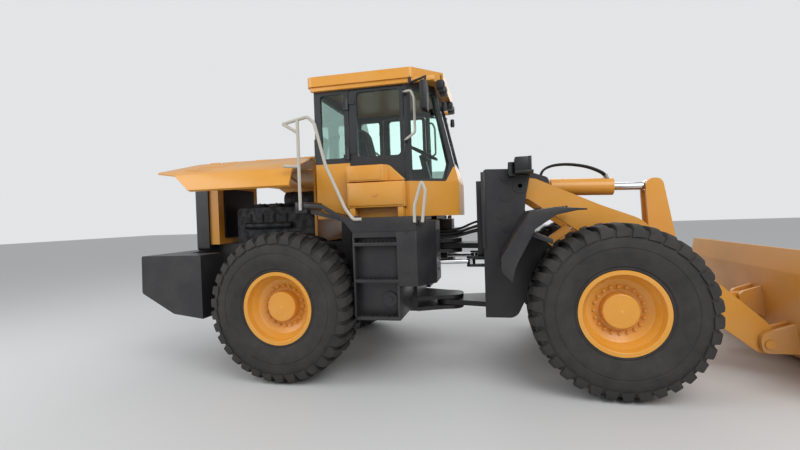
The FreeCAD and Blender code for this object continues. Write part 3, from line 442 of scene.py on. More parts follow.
class Paint:
    """The finishes of the machine, each built once and kept by name."""

    def __init__(self) -> None:
        """Build every finish."""
        finishes = (
            Enamel("orange_enamel", "DE9A35"),
            Enamel("bucket_enamel", "DB9A44", dust_share=0.3, roughness=0.4),
            Enamel("charcoal_enamel", "232326", dust="6F6A64", dust_share=0.1, roughness=0.42, coat=0.1),
            Enamel("cab_charcoal_enamel", "26272A", dust="6F6A64", dust_share=0.05, roughness=0.36),
            Enamel("rail_enamel", "B9B4A8", dust="8C857A", dust_share=0.2, roughness=0.4),
            Rubber(),
            Rubber("tread_rubber", "2D2B2A", "94816D", 0.80, 0.88),
            Rubber("hose_rubber", "141416", "4A4845", 0.1, 0.5),
            Metal("chrome_plate", "E6E7E9", "C4C6C9", 0.07, 400.0),
            Metal("cast_iron", "3B3C3F", "242527", 0.5, 80.0, 0.6),
            Metal("zinc_plate", "B9BABC", "8B8D90", 0.35, 30.0),
            Metal("worn_edge_steel", "9C9A96", "5D5A55", 0.38, 50.0),
            Plastic("black_plastic", "1B1C1E"),
            Plastic("amber_lens", "E07A10", 0.15, 6.0, 0.15),
            Plastic("clear_lens", "D9DEE2", 0.08, 6.0),
            Plastic("grille_plastic", "121315", 0.6),
            Glazing(),
            Cloth(),
        )
        self.made: dict[str, bpy.types.Material] = {f.name: f.material() for f in finishes}

    def coat(self, piece: bpy.types.Object, *names: str) -> None:
        """Give a piece its finishes.

        Args:
            piece: Object whose material slots are filled.
            names: Finish of each slot.
        """
        piece.data.materials.clear()
        for name in names:
            piece.data.materials.append(self.made[name])


PAINT = Paint()


def unique(items: Iterable) -> list:
    """List items once each, in the order they come.

    Args:
        items: Parts of a mesh, some of them more than once.

    Returns:
        Each part once.
    """
    return list(dict.fromkeys(items))


class Shape:
    """A piece in the making: one bmesh, and the calls that put simple forms into it."""

    def __init__(self) -> None:
        """Start with an empty mesh."""
        self.mesh = bmesh.new()

    def box(self, low: Point, high: Point, bevel: float = 0.0, slot: int = 0) -> Verts:
        """Add a box, with its edges rounded where a bevel is given.

        Args:
            low: Lowest corner.
            high: Highest corner.
            bevel: Width of the rounded edges.
            slot: Material slot of its faces.

        Returns:
            The vertices of the box.
        """
        size = [b - a for a, b in zip(low, high)]
        middle = Vector([(a + b) / 2 for a, b in zip(low, high)])
        made = bmesh.ops.create_cube(self.mesh, size=1.0)["verts"]
        bmesh.ops.scale(self.mesh, vec=size, verts=made)
        bmesh.ops.translate(self.mesh, vec=middle, verts=made)
        return self.round(made, bevel, slot)

    def round(self, verts: Verts, bevel: float, slot: int) -> Verts:
        """Round the edges of a new form and set its slot.

        Args:
            verts: Vertices of the form.
            bevel: Width of the rounded edges.
            slot: Material slot of its faces.

        Returns:
            The vertices that remain.
        """
        faces = self.paint(verts, slot)
        if bevel <= 0:
            return verts
        edges = unique(e for v in verts for e in v.link_edges)
        made = bmesh.ops.bevel(self.mesh, geom=edges, offset=bevel, segments=2, profile=0.5, affect="EDGES",
                               material=-1)
        around = unique([v for f in faces if f.is_valid for v in f.verts] + list(made["verts"]))
        return [v for v in around if v.is_valid]

    def paint(self, verts: Verts, slot: int) -> list[bmesh.types.BMFace]:
        """Set the slot of the faces round some vertices.

        Args:
            verts: Vertices of a form.
            slot: Material slot of its faces.

        Returns:
            The faces.
        """
        faces = unique(f for v in verts for f in v.link_faces)
        for face in faces:
            face.material_index = slot
        return faces

    def rod(self, start: Point, end: Point, radius: float, sides: int = 16, slot: int = 0,
            tip: float | None = None) -> Verts:
        """Add a round bar or cone between two points.

        Args:
            start: Centre of the first end.
            end: Centre of the other end.
            radius: Radius at the start.
            sides: Number of sides.
            slot: Material slot of its faces.
            tip: Radius at the end, where it differs.

        Returns:
            The vertices of the bar.
        """
        a, b = Vector(start), Vector(end)
        made = bmesh.ops.create_cone(self.mesh, cap_ends=True, segments=sides, radius1=radius,
                                     radius2=radius if tip is None else tip, depth=(b - a).length)["verts"]
        turn = Vector((0, 0, 1)).rotation_difference(b - a).to_matrix()
        bmesh.ops.rotate(self.mesh, cent=(0, 0, 0), matrix=turn, verts=made)
        bmesh.ops.translate(self.mesh, vec=(a + b) / 2, verts=made)
        self.paint(made, slot)
        return made

    def lathe(self, section: Outline, centre: Point, axis: Axis, steps: int = 64,
              slot: int = 0) -> Verts:
        """Spin an outline of (distance along the axis, radius) into a round form.

        Args:
            section: Points of the outline, from one end to the other.
            centre: Point on the axis where the distance is zero.
            axis: Axis to turn about.
            steps: Number of steps round.
            slot: Material slot of its faces.

        Returns:
            The vertices of the form.
        """
        along = Vector(axis.value)
        out = Vector((0, 0, 1)) if axis is not Axis.Z else Vector((1, 0, 0))
        verts = [self.mesh.verts.new(Vector(centre) + along * d + out * r) for d, r in section]
        edges = [self.mesh.edges.new(pair) for pair in zip(verts, verts[1:])]
        made = bmesh.ops.spin(self.mesh, geom=verts + edges, cent=centre, axis=along, dvec=(0, 0, 0),
                              angle=math.tau, steps=steps, use_merge=True)
        edge = [v for v in made["geom_last"] if isinstance(v, bmesh.types.BMVert)] + verts
        grown = dict.fromkeys(edge)
        while edge:
            edge = [e.other_vert(v) for v in edge for e in v.link_edges if e.other_vert(v) not in grown]
            grown.update(dict.fromkeys(edge))
        bmesh.ops.remove_doubles(self.mesh, verts=list(grown), dist=1e-5)
        kept = [v for v in grown if v.is_valid]
        self.paint(kept, slot)
        return kept

    def prism(self, outline: Outline, low: float, high: float, axis: Axis = Axis.Y,
              bevel: float = 0.0, slot: int = 0) -> Verts:
        """Extrude an outline that is drawn square to an axis.

        Args:
            outline: Corners, as the other two coordinates in order.
            low: Where the form starts along the axis.
            high: Where it ends.
            axis: Axis to extrude along.
            bevel: Width of the rounded edges.
            slot: Material slot of its faces.

        Returns:
            The vertices of the form.
        """
        index = list(Axis).index(axis)
        points = [self.mesh.verts.new(pair[:index] + (low,) + pair[index:]) for pair in outline]
        face = self.mesh.faces.new(points)
        grown = bmesh.ops.extrude_face_region(self.mesh, geom=[face])["geom"]
        moved = [v for v in grown if isinstance(v, bmesh.types.BMVert)]
        bmesh.ops.translate(self.mesh, vec=Vector(axis.value) * (high - low), verts=moved)
        return self.round(points + moved, bevel, slot)

    def whole(self) -> list[bmesh.types.BMVert | bmesh.types.BMEdge | bmesh.types.BMFace]:
        """List the whole mesh.

        Returns:
            Its vertices, edges and faces.
        """
        return self.mesh.verts[:] + self.mesh.edges[:] + self.mesh.faces[:]

    def copy(self) -> Verts:
        """Repeat the whole mesh, mirrored to the other side.

        Returns:
            The vertices of the copy.
        """
        made = bmesh.ops.duplicate(self.mesh, geom=self.whole())["geom"]
        verts = [v for v in made if isinstance(v, bmesh.types.BMVert)]
        bmesh.ops.scale(self.mesh, vec=(1, -1, 1), verts=verts)
        return verts

    def move(self, way: Point, verts: Verts | None = None) -> None:
        """Move the mesh, or part of it.

        Args:
            way: How far along each axis.
            verts: Vertices to move, where it isn't all of them.
        """
        bmesh.ops.translate(self.mesh, vec=way, verts=verts or self.mesh.verts)

    def face_side(self, side: Side) -> None:
        """Put a mesh that was drawn on the left side onto one side.

        Args:
            side: Side of the machine.
        """
        bmesh.ops.scale(self.mesh, vec=(1, side.value, 1), verts=self.mesh.verts)

    def turn(self, verts: Verts, centre: Point, axis: Axis, degrees: float) -> None:
        """Turn part of the mesh about a point.

        Args:
            verts: Vertices to turn.
            centre: Point that stays.
            axis: Axis of the turn.
            degrees: Angle.
        """
        spin = Matrix.Rotation(math.radians(degrees), 3, axis.value)
        bmesh.ops.rotate(self.mesh, cent=centre, matrix=spin, verts=verts)

    def piece(self, name: str, body: str, slot: str, *finishes: str,
              mirror: bool = False) -> bpy.types.Object:
        """Finish the mesh as a piece that rides on a body.

        Args:
            name: Name of the piece.
            body: CAD body that it rides on.
            slot: A slot name from the record; not used.
            finishes: Finish of each material slot.
            mirror: Whether the piece is repeated on the other side of the machine.

        Returns:
            The new object.
        """
        if mirror:
            other = self.copy()
            bmesh.ops.reverse_faces(self.mesh, faces=unique(f for v in other for f in v.link_faces))
        bmesh.ops.recalc_face_normals(self.mesh, faces=self.mesh.faces)
        data = bpy.data.meshes.new(name)
        self.mesh.to_mesh(data)
        self.mesh.free()
        data.shade_smooth()
        data.set_sharp_from_angle(angle=SHARP_ANGLE)
        return settle(name, data, body, slot, *finishes)


def settle(name: str, data: bpy.types.Mesh, body: str, slot: str, *finishes: str) -> bpy.types.Object:
    """Put a mesh into the scene as a piece that rides on a body.

    Args:
        name: Name of the piece.
        data: Its mesh.
        body: CAD body that it rides on.
        slot: A slot name from the record; not used.
        finishes: Finish of each material slot.

    Returns:
        The new object.
    """
    made = place_in_scene(name, data)
    PAINT.coat(made, *finishes)
    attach(made, body)
    log.info("piece %s on %s: %d faces", name, body, len(data.polygons))
    return made


def sweep(name: str, paths: list[list[Point]], steps: int, radius: float = 0.0,
          sides: int = 0) -> bpy.types.Mesh:
    """Turn smooth lines into a mesh of points, or of tubes where a radius is given.

    Args:
        name: Name of the mesh.
        paths: Control points of each line.
        steps: Steps between control points.
        radius: Radius of the tubes.
        sides: Bevel resolution of their section.

    Returns:
        The mesh.
    """
    curve = bpy.data.curves.new(name, "CURVE")
    curve.dimensions = "3D"
    curve.bevel_depth = radius
    curve.bevel_resolution = sides
    curve.use_fill_caps = True
    curve.resolution_u = steps
    for path in paths:
        spline = curve.splines.new("NURBS")
        spline.points.add(len(path) - 1)
        for point, place in zip(spline.points, path):
            point.co = (*place, 1.0)
        spline.order_u = 3
        spline.use_endpoint_u = True
    holder = place_in_scene(name + "_line", curve)
    bpy.context.view_layer.update()
    data = bpy.data.meshes.new_from_object(holder.evaluated_get(bpy.context.evaluated_depsgraph_get()))
    bpy.data.objects.remove(holder)
    return data


def tube(name: str, body: str, slot: str, finish: str, paths: list[list[Point]], radius: float,
         sides: int = 5) -> bpy.types.Object:
    """Make bent tubes along smooth lines.

    Args:
        name: Name of the piece.
        body: CAD body that it rides on.
        slot: A slot name from the record; not used.
        finish: Finish of the tube.
        paths: Points of each tube.
        radius: Radius of the tube.
        sides: Bevel resolution of the section.

    Returns:
        The tubes as one mesh.
    """
    data = sweep(name, paths, 6, radius, sides)
    data.shade_smooth()
    return settle(name, data, body, slot, finish)


def band(line: Outline, thick: float) -> Outline:
    """Give an open line a thickness, as the outline of a bent sheet.

    Args:
        line: Corners of the sheet's outer face.
        thick: Thickness, laid to the right of the line.

    Returns:
        Corners of the closed outline.
    """
    inner = []
    for index, (x, z) in enumerate(line):
        before, after = line[max(index - 1, 0)], line[min(index + 1, len(line) - 1)]
        run, rise = after[0] - before[0], after[1] - before[1]
        size = math.hypot(run, rise)
        inner.append((x + rise / size * thick, z - run / size * thick))
    return list(line) + inner[::-1]


def bent(path: list[Point], reach: float = 0.07) -> list[Point]:
    """Keep the runs of a rigid tube straight, and bend it only near its corners.

    Args:
        path: Corners of the tube's line.
        reach: How far from a corner its bend starts.

    Returns:
        Points of the smooth line.
    """
    points = [Vector(p) for p in path]
    made = [points[0]]
    for before, corner, after in zip(points, points[1:], points[2:]):
        into, out = (before - corner), (after - corner)
        made += [corner + into.normalized() * min(reach, into.length * 0.45), corner,
                 corner + out.normalized() * min(reach, out.length * 0.45)]
    made.append(points[-1])
    return [tuple(p) for p in made]


def both(path: list[Point]) -> list[list[Point]]:
    """Repeat a line on the other side of the machine.

    Args:
        path: Points of the line.

    Returns:
        The line and its mirror image.
    """
    return [path, [(x, -y, z) for x, y, z in path]]


@dataclass
class Panels:
    """Sheet metal that stands for plain solids: hood panels, mudguards, tanks, door skins and side boxes."""

    hinge_y: float = 0.535
    hinge_z: float = 2.456
    slope: float = 17.4
    fold: float = 43.0
    width: float = 0.700
    lower: float = 0.210
    sheet: float = 0.018
    front: float = -2.135
    crease_rear: float = -3.590
    louvres: tuple[float, ...] = (0.25, 0.45, 0.65, 0.85)
    ribs_x: tuple[float, ...] = (-2.55, -3.15)
    hinges_x: tuple[float, ...] = (-2.30, -2.95, -3.60)
    hinge_length: float = 0.14
    guard_inner_y: float = 0.640
    guard_outer_y: float = 1.400
    treads_z: tuple[float, ...] = (0.670, 1.045, 1.415)
    grips: int = 9
    grip_pitch: float = 0.045
    studs: tuple[int, int] = (6, 8)
    stud_pitch: tuple[float, float] = (0.075, 0.085)

    def hood(self, side: Side) -> None:
        """Make a raised hood panel: a wide facet, and a narrow one turned down along its edge.

        Args:
            side: Side of the machine.
        """
        shape = Shape()
        half = self.sheet / 2
        upper = shape.prism([
            (-2.195, 0.018), (self.front, self.width), (self.crease_rear, self.width),
            (-3.975, self.width - 0.20), (-4.0, self.width - 0.25), (-3.735, 0.018),
        ], -half, half, Axis.Z, 0.004)
        for vent in ([(-3.22, 0.11), (-3.58, 0.28), (-3.22, 0.35)],
                     [(-3.29, 0.42), (-3.66, 0.435), (-3.33, 0.60)]):
            upper += shape.prism(vent, half - 0.006, half + 0.003, Axis.Z, 0.0, 1)
            a, b, c = (Vector(p) for p in vent)
            for share in self.louvres:
                ends = [(*(p + (b - p) * share), half + 0.002) for p in (a, c)]
                upper += shape.rod(*ends, 0.006, 8)
        for x in self.ribs_x:
            upper += shape.box((x - 0.03, 0.02, -half - 0.022), (x + 0.03, self.width - 0.03, -half + 0.001),
                               0.004)
        shape.turn(upper, (0, 0, 0), Axis.X, -self.slope)
        skirt = shape.prism([
            (self.front, -0.004), (-2.128, self.lower), (-3.340, self.lower), (self.crease_rear, -0.004),
        ], -half, half, Axis.Z, 0.004)
        skirt += shape.box((-3.33, self.lower - 0.018, -half - 0.02), (-2.13, self.lower, -half + 0.001),
                           0.003)
        shape.turn(skirt, (0, 0, 0), Axis.X, -self.slope - self.fold)
        slope = math.radians(self.slope)
        shape.move((0, self.width * math.cos(slope), -self.width * math.sin(slope)), skirt)
        for x in self.hinges_x:
            shape.rod((x, 0, 0), (x + self.hinge_length, 0, 0), 0.015, 16, 2)
        shape.move((0, self.hinge_y, self.hinge_z))
        shape.face_side(side)
        name = side.name.lower()
        made = shape.piece("hood_panel_" + name, "hood_door_" + name, "orange_paint", "orange_enamel",
                           "grille_plastic", "charcoal_enamel")
        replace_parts(made, "hood_door_" + name)

    def mudguards(self) -> None:
        """Make the front mudguards: a bent sheet with a side flange, on an arm from the tower."""
        shape = Shape()
        outer = [(0.092, 1.064), (0.0, 1.163), (-0.003, 1.294), (0.260, 1.706), (0.482, 1.742),
                 (0.744, 1.720)]
        inner = [(0.492, 1.672), (0.306, 1.549), (0.141, 1.240), (0.120, 1.185)]
        shape.prism(band(outer, 0.014), self.guard_inner_y, self.guard_outer_y, Axis.Y, 0.003)
        shape.prism(outer + inner, 1.386, 1.402, Axis.Y, 0.004)
        arm = [(0.265, 1.480), (0.465, 1.400), (0.465, 1.450), (0.280, 1.525)]
        shape.prism(arm, 0.620, 1.300, Axis.Y, 0.006)
        for y in (0.80, 1.00, 1.20):
            for x, z in ((0.36, 1.731), (0.60, 1.739)):
                shape.rod((x, y, z - 0.01), (x, y, z + 0.012), 0.012, 6, 1)
        made = shape.piece("mudguards", "front_frame", "dark_paint", "charcoal_enamel", "zinc_plate",
                           mirror=True)
        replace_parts(made, "front_fenders")

    def tanks(self) -> None:
        """Make the side tanks: a chamfered nose, a recess with three treads, a filler disc and bolts."""
        shape = Shape()
        rear = [(-1.459, 0.70), (-1.459, 1.21), (-1.005, 1.21), (-1.005, 0.70)]
        nose = [(-1.005, 0.70), (-1.005, 1.30), (-0.805, 1.30), (-0.645, 1.06), (-0.645, 0.70)]
        shape.prism(rear, 0.670, 1.655, Axis.Z, 0.008)
        shape.prism(nose, 1.010, 1.655, Axis.Z, 0.010)
        shape.box((-1.010, 0.70, 0.670), (-0.985, 1.30, 1.015), 0.004)
        shape.box((-1.459, 1.20, 1.500), (-1.000, 1.30, 1.655), 0.006)
        shape.box((-1.459, 1.20, 0.700), (-1.440, 1.30, 1.510), 0.004)
        for z in self.treads_z:
            shape.box((-1.445, 1.205, z), (-0.995, 1.302, z + 0.035), 0.005)
            for step in range(self.grips):
                x = -1.40 + step * self.grip_pitch
                shape.box((x, 1.215, z + 0.034), (x + 0.018, 1.292, z + 0.041), 0.002, 1)
        shape.rod((-1.105, 1.205, 0.870), (-1.105, 1.228, 0.870), 0.075, 32)
        shape.rod((-1.105, 1.220, 0.870), (-1.105, 1.236, 0.870), 0.030, 6, 1)
        for z in (1.137, 1.544):
            shape.rod((-0.655, 0.90, z), (-0.637, 0.90, z), 0.014, 6, 1)
            shape.rod((-0.90, 1.295, z), (-0.90, 1.308, z), 0.013, 6, 1)
        made = shape.piece("side_tanks", "rear_frame", "dark_paint", "charcoal_enamel", "zinc_plate",
                           mirror=True)
        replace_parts(made, "tank_left", "tank_right")

    def skirts(self) -> None:
        """Fold the edge of the walkway down, and set the bracket box over the rear wheel."""
        shape = Shape()
        shape.prism([
            (-0.80, 1.560), (-0.80, 1.700), (-1.52, 1.700), (-1.765, 1.850), (-1.975, 1.865),
            (-1.975, 1.825), (-1.775, 1.810), (-1.535, 1.655), (-1.459, 1.560),
        ], 1.286, 1.307, Axis.Y, 0.003)
        shape.box((-2.075, 0.875, 1.770), (-1.945, 1.290, 1.885), 0.008)
        for row in range(self.studs[0]):
            for column in range(self.studs[1]):
                x, y = -1.48 + column * self.stud_pitch[1], 0.86 + row * self.stud_pitch[0]
                shape.box((x, y, 1.699), (x + 0.042, y + 0.012, 1.704), 0.001, 1)
        shape.piece("deck_skirts", "rear_frame", "dark_paint", "charcoal_enamel", "zinc_plate", mirror=True)

    def boxes(self) -> None:
        """Make the side boxes, whose upper half swings with the cab doors."""
        for side in Side:
            shape = Shape()
            plan = [(-1.62, 0.800), (-1.62, 0.950), (-1.215, 0.950), (-1.165, 0.884), (-1.165, 0.800)]
            front = [(-1.170, 2.096), (-1.170, 2.270), (-1.150, 2.262), (-0.993, 2.110), (-0.993, 2.096)]
            shape.prism(plan, 2.096, 2.272, Axis.Z, 0.008)
            shape.prism(front, 0.800, 0.884, Axis.Y, 0.006)
            shape.box((-1.60, 0.945, 2.110), (-1.235, 0.960, 2.258), 0.006)
            shape.face_side(side)
            name = side.name.lower()
            made = shape.piece("door_box_" + name, "cab_door_" + name, "orange_paint", "orange_enamel")
            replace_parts(made, "cab_door_skin_" + name)
        shape = Shape()
        shape.box((-1.62, 0.795, 1.810), (-0.975, 0.950, 2.085), 0.010)
        shape.box((-1.60, 0.945, 1.830), (-0.995, 0.962, 2.070), 0.008)
        shape.box((-1.60, 0.800, 1.700), (-1.54, 0.940, 1.812), 0.004)
        shape.box((-1.06, 0.800, 1.700), (-1.00, 0.940, 1.812), 0.004)
        shape.rod((-1.30, 0.958, 1.95), (-1.30, 0.974, 1.95), 0.020, 16)
        shape.piece("side_boxes", "rear_frame", "orange_paint", "orange_enamel", mirror=True)

    def build(self) -> None:
        """Make every panel."""
        self.hood(Side.LEFT)
        self.hood(Side.RIGHT)
        self.mudguards()
        self.tanks()
        self.skirts()
        self.boxes()


@dataclass
class Fittings:
    """Rails, mirrors, lamps, trim of the roof and tower, and the controls in the cab."""

    rail_y: float = 1.307
    rail_radius: float = 0.017
    grab_y: float = 0.845
    grab_radius: float = 0.014
    wheel_x: float = -0.91
    wheel_z: float = 2.50
    wheel_radius: float = 0.185
    spoke: float = 0.18
    lean: tuple[float, float] = (0.88, 0.47)
    levers_y: tuple[float, ...] = (-0.42, -0.34)

    def rails(self) -> None:
        """Bend the handrails beside the steps, the front loop and the grab rail by the door."""
        y = self.rail_y
        flat = [
            [(-1.351, 1.688), (-1.438, 1.688), (-1.520, 1.799), (-1.718, 2.256), (-1.823, 2.685),
             (-1.898, 2.755), (-2.173, 2.700)],
            [(-2.008, 1.800), (-2.008, 2.730)],
            [(-2.008, 2.600), (-2.168, 2.700)],
            [(-2.008, 2.252), (-2.176, 2.266)],
            [(-0.813, 1.640), (-0.813, 1.790), (-0.735, 2.037), (-0.698, 1.946), (-0.736, 1.640)],
        ]
        paths = [path for line in flat for path in both(bent([(x, y, z) for x, z in line]))]
        grab = [(x, self.grab_y, z) for x, z in ((-0.980, 3.049), (-0.899, 3.060), (-0.862, 2.974),
                                                 (-0.862, 2.605), (-0.980, 2.528))]
        tube("handrails", "rear_frame", "dark_paint", "rail_enamel", paths, self.rail_radius)
        tube("grab_rails", "rear_frame", "dark_paint", "rail_enamel", both(bent(grab, 0.05)),
             self.grab_radius)
        shape = Shape()
        for x, z in ((-2.008, 1.835), (-1.40, 1.688), (-0.813, 1.660), (-0.736, 1.660)):
            shape.box((x - 0.03, 1.270, z - 0.035), (x + 0.03, 1.312, z + 0.035), 0.004)
        for z in (3.049, 2.528):
            shape.box((-0.983, 0.795, z - 0.02), (-0.958, 0.858, z + 0.02), 0.004)
        shape.piece("rail_feet", "rear_frame", "dark_paint", "charcoal_enamel", mirror=True)

    def mirrors(self) -> None:
        """Hang the mirrors from arms at the front corners of the roof."""
        shape = Shape()
        shape.box((-0.760, 0.910, 2.790), (-0.690, 1.100, 3.090), 0.022)
        shape.box((-0.764, 0.925, 2.808), (-0.756, 1.085, 3.072), 0.003, 1)
        shape.rod((-0.915, 0.835, 3.142), (-0.705, 1.005, 3.142), 0.012)
        shape.rod((-0.712, 1.000, 3.148), (-0.712, 1.000, 3.080), 0.012)
        shape.rod((-0.905, 0.843, 3.130), (-0.905, 0.843, 3.215), 0.016)
        shape.piece("mirrors", "rear_frame", "plastic_black", "black_plastic", "chrome_plate", mirror=True)

    def lamps(self) -> None:
        """Build the work lamps on their shelves, with turn lamps beside them."""
        shape = Shape()
        shape.box((0.165, 0.620, 2.105), (0.350, 0.870, 2.138), 0.005)
        shape.box((0.110, 0.620, 2.085), (0.175, 0.800, 2.107), 0.004)
        shape.box((0.165, 0.660, 2.135), (0.312, 0.860, 2.278), 0.016)
        for y, far_y, z, far_z in ((0.660, 0.672, 2.135, 2.278), (0.848, 0.860, 2.135, 2.278),
                                   (0.660, 0.860, 2.135, 2.147), (0.660, 0.860, 2.266, 2.278)):
            shape.box((0.300, y, z), (0.333, far_y, far_z), 0.003)
        shape.box((0.308, 0.671, 2.146), (0.326, 0.849, 2.267), 0.006, 1)
        shape.rod((0.133, 0.740, 2.105), (0.133, 0.740, 2.150), 0.038, 24)
        shape.rod((0.133, 0.740, 2.148), (0.133, 0.740, 2.235), 0.037, 24, 2, 0.032)
        made = shape.piece("work_lamps", "front_frame", "plastic_black", "black_plastic", "clear_lens",
                           "amber_lens", mirror=True)
        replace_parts(made, "head_lamps")

    def tower(self) -> None:
        """Add the tower's flanges, pin heads and their bolts."""
        shape = Shape()
        shape.box((-0.250, 0.350, 1.210), (-0.170, 0.410, 2.080), 0.006)
        shape.box((-0.190, 0.558, 1.320), (-0.145, 0.632, 2.160), 0.005)
        for x, z, radius, height in ((0.061, 2.095, 0.042, 0.014), (0.017, 1.667, 0.032, 0.010),
                                     (0.073, 1.546, 0.042, 0.014), (0.075, 1.886, 0.062, 0.008),
                                     (0.225, 1.990, 0.078, 0.012)):
            shape.rod((x, 0.600, z), (x, 0.620 + height, z), radius, 32)
            shape.rod((x, 0.615, z), (x, 0.628 + height, z), radius * 0.34, 6, 1)
        shape.piece("tower_trim", "front_frame", "dark_paint", "charcoal_enamel", "zinc_plate", mirror=True)

    def roof(self) -> None:
        """Trim the roof's sides and front, and set the roof lamps and the exhaust's tip."""
        shape = Shape()
        shape.box((-2.060, 0.790, 3.150), (-0.640, 0.840, 3.202), 0.008)
        shape.box((-0.620, -0.560, 3.215), (-0.585, 0.560, 3.290), 0.010)
        shape.piece("roof_band", "rear_frame", "orange_paint", "orange_enamel", mirror=True)
        lamps = Shape()
        for y in (0.36, 0.58):
            lamps.box((-0.640, y - 0.075, 3.110), (-0.560, y + 0.075, 3.205), 0.014)
            lamps.box((-0.563, y - 0.062, 3.122), (-0.553, y + 0.062, 3.193), 0.004, 1)
        lamps.rod((-0.575, 0.470, 2.900), (-0.575, 0.470, 2.925), 0.026, 20)
        lamps.rod((-0.575, 0.470, 2.922), (-0.575, 0.470, 3.000), 0.030, 20, 2, 0.024)
        lamps.piece("roof_lamps", "rear_frame", "plastic_black", "black_plastic", "clear_lens", "amber_lens",
                    mirror=True)
        pipe = Shape()
        pipe.rod((-2.236, -0.300, 2.440), (-2.236, -0.300, 2.714), 0.026, 24)
        pipe.rod((-2.236, -0.300, 2.465), (-2.236, -0.300, 2.485), 0.040, 24)
        pipe.piece("exhaust_tip", "rear_frame", "cast_dark", "cast_iron")

    def on_wheel(self, angle: float, radius: float) -> Point:
        """Find a point in the leaning plane of the steering wheel.

        Args:
            angle: Angle round the wheel, in radians.
            radius: Distance from its hub.

        Returns:
            The point.
        """
        ahead = radius * math.cos(angle)
        return (self.wheel_x + ahead * self.lean[0], radius * math.sin(angle),
                self.wheel_z - ahead * self.lean[1])

    def controls(self) -> None:
        """Set the steering wheel with its spokes, and two levers on their console."""
        ring = [self.on_wheel(math.tau * step / 20, self.wheel_radius) for step in range(21)]
        tube("steering_wheel", "rear_frame", "plastic_black", "black_plastic", [ring], 0.015)
        shape = Shape()
        shape.rod((-0.915, 0, 2.49), (-0.87, 0, 2.40), 0.045, 20, 0, 0.03)
        for turn in (0.5, 2.6, 4.71):
            shape.rod((self.wheel_x, 0, self.wheel_z - 0.005), self.on_wheel(turn, self.spoke), 0.012, 10)
        for y in self.levers_y:
            shape.rod((-1.15, y, 2.13), (-1.09, y, 2.42), 0.009, 12)
            shape.rod((-1.09, y, 2.40), (-1.082, y, 2.46), 0.022, 16, 0, 0.018)
        shape.box((-1.48, -0.47, 1.98), (-1.02, -0.28, 2.15), 0.03)
        shape.piece("controls", "rear_frame", "plastic_black", "black_plastic")

    def build(self) -> None:
        """Make every fitting."""
        self.rails()
        self.mirrors()
        self.lamps()
        self.tower()
        self.roof()
        self.controls()


@dataclass
class EngineBay:
    """What the raised panels show: covers, air cleaner, stack, fan, pulleys, pipes, core and slats."""

    cylinders_x: tuple[float, ...] = (-3.20, -2.95, -2.70)
    cleaner: tuple[float, float] = (-0.20, 1.97)
    fan_x: float = -3.42
    fan_z: float = 1.63
    blades: int = 8
    blade_twist: float = 28.0
    fins: int = 30
    fin_pitch: float = 0.0213
    slats: int = 8
    slat_pitch: float = 0.0865
    slat_twist: float = 32.0

    def engine(self) -> None:
        """Dress the engine block."""
        shape = Shape()
        for x in self.cylinders_x:
            shape.box((x - 0.10, -0.115, 1.875), (x + 0.10, 0.115, 1.940), 0.018)
            for y in (-0.06, 0.06):
                shape.rod((x, y, 1.935), (x, y, 1.950), 0.010, 6, 1)
        shape.box((-3.33, -0.155, 1.870), (-2.58, 0.155, 1.890), 0.004)
        shape.rod((-2.71, *self.cleaner), (-2.29, *self.cleaner), 0.105, 40, 2)
        for x in (-2.62, -2.38):
            shape.rod((x - 0.012, *self.cleaner), (x + 0.012, *self.cleaner), 0.110, 40)
        shape.rod((-2.57, 0.21, 1.87), (-2.57, 0.21, 2.06), 0.075, 32)
        for y in (-0.335, 0.335):
            shape.rod((-3.25, y, 1.645), (-2.60, y, 1.645), 0.042, 20)
            for x in (-3.20, -3.03, -2.86, -2.69):
                shape.rod((x, y * 0.9, 1.645), (x, y * 0.9, 1.80), 0.028, 14)
        for y in (-0.318, 0.318):
            for x in (-3.1, -2.9, -2.7, -2.5):
                shape.box((x - 0.05, y - 0.012, 1.22), (x + 0.05, y + 0.012, 1.50), 0.006)
        for y, z, radius in ((0.0, 1.30, 0.105), (0.17, 1.52, 0.070), (-0.17, 1.50, 0.062)):
            shape.rod((-3.425, y, z), (-3.385, y, z), radius, 32)
        shape.rod((-3.43, 0.0, self.fan_z), (-3.385, 0.0, self.fan_z), 0.055, 24)
        for blade in range(self.blades):
            verts = shape.box((-3.425, -0.045, 0.05), (-3.415, 0.045, 0.27), 0.003, 2)
            shape.turn(verts, (self.fan_x, 0, 0.16), Axis.Z, self.blade_twist)
            shape.turn(verts, (0, 0, 0), Axis.X, 360 / self.blades * blade)
            shape.move((0.020, 0, self.fan_z), verts)
        shape.piece("engine_dress", "rear_frame", "cast_dark", "cast_iron", "zinc_plate", "black_plastic")

    def cooling(self) -> None:
        """Build the core's face with its fins and the slats of the guard behind it."""
        shape = Shape()
        shape.box((-3.562, -0.355, 1.500), (-3.540, 0.355, 2.150), 0.004)
        for row in range(self.fins):
            z = 1.515 + row * self.fin_pitch
            shape.box((-3.541, -0.345, z), (-3.534, 0.345, z + 0.008))
        for index in range(self.slats):
            z = 1.475 + index * self.slat_pitch
            verts = shape.box((-3.835, -0.405, z - 0.028), (-3.823, 0.405, z + 0.028), 0.003, 1)
            shape.turn(verts, (-3.829, 0, z), Axis.Y, self.slat_twist)
        shape.piece("cooling_face", "rear_frame", "dark_paint", "grille_plastic", "charcoal_enamel")

    def build(self) -> None:
        """Make the bay."""
        self.engine()
        self.cooling()


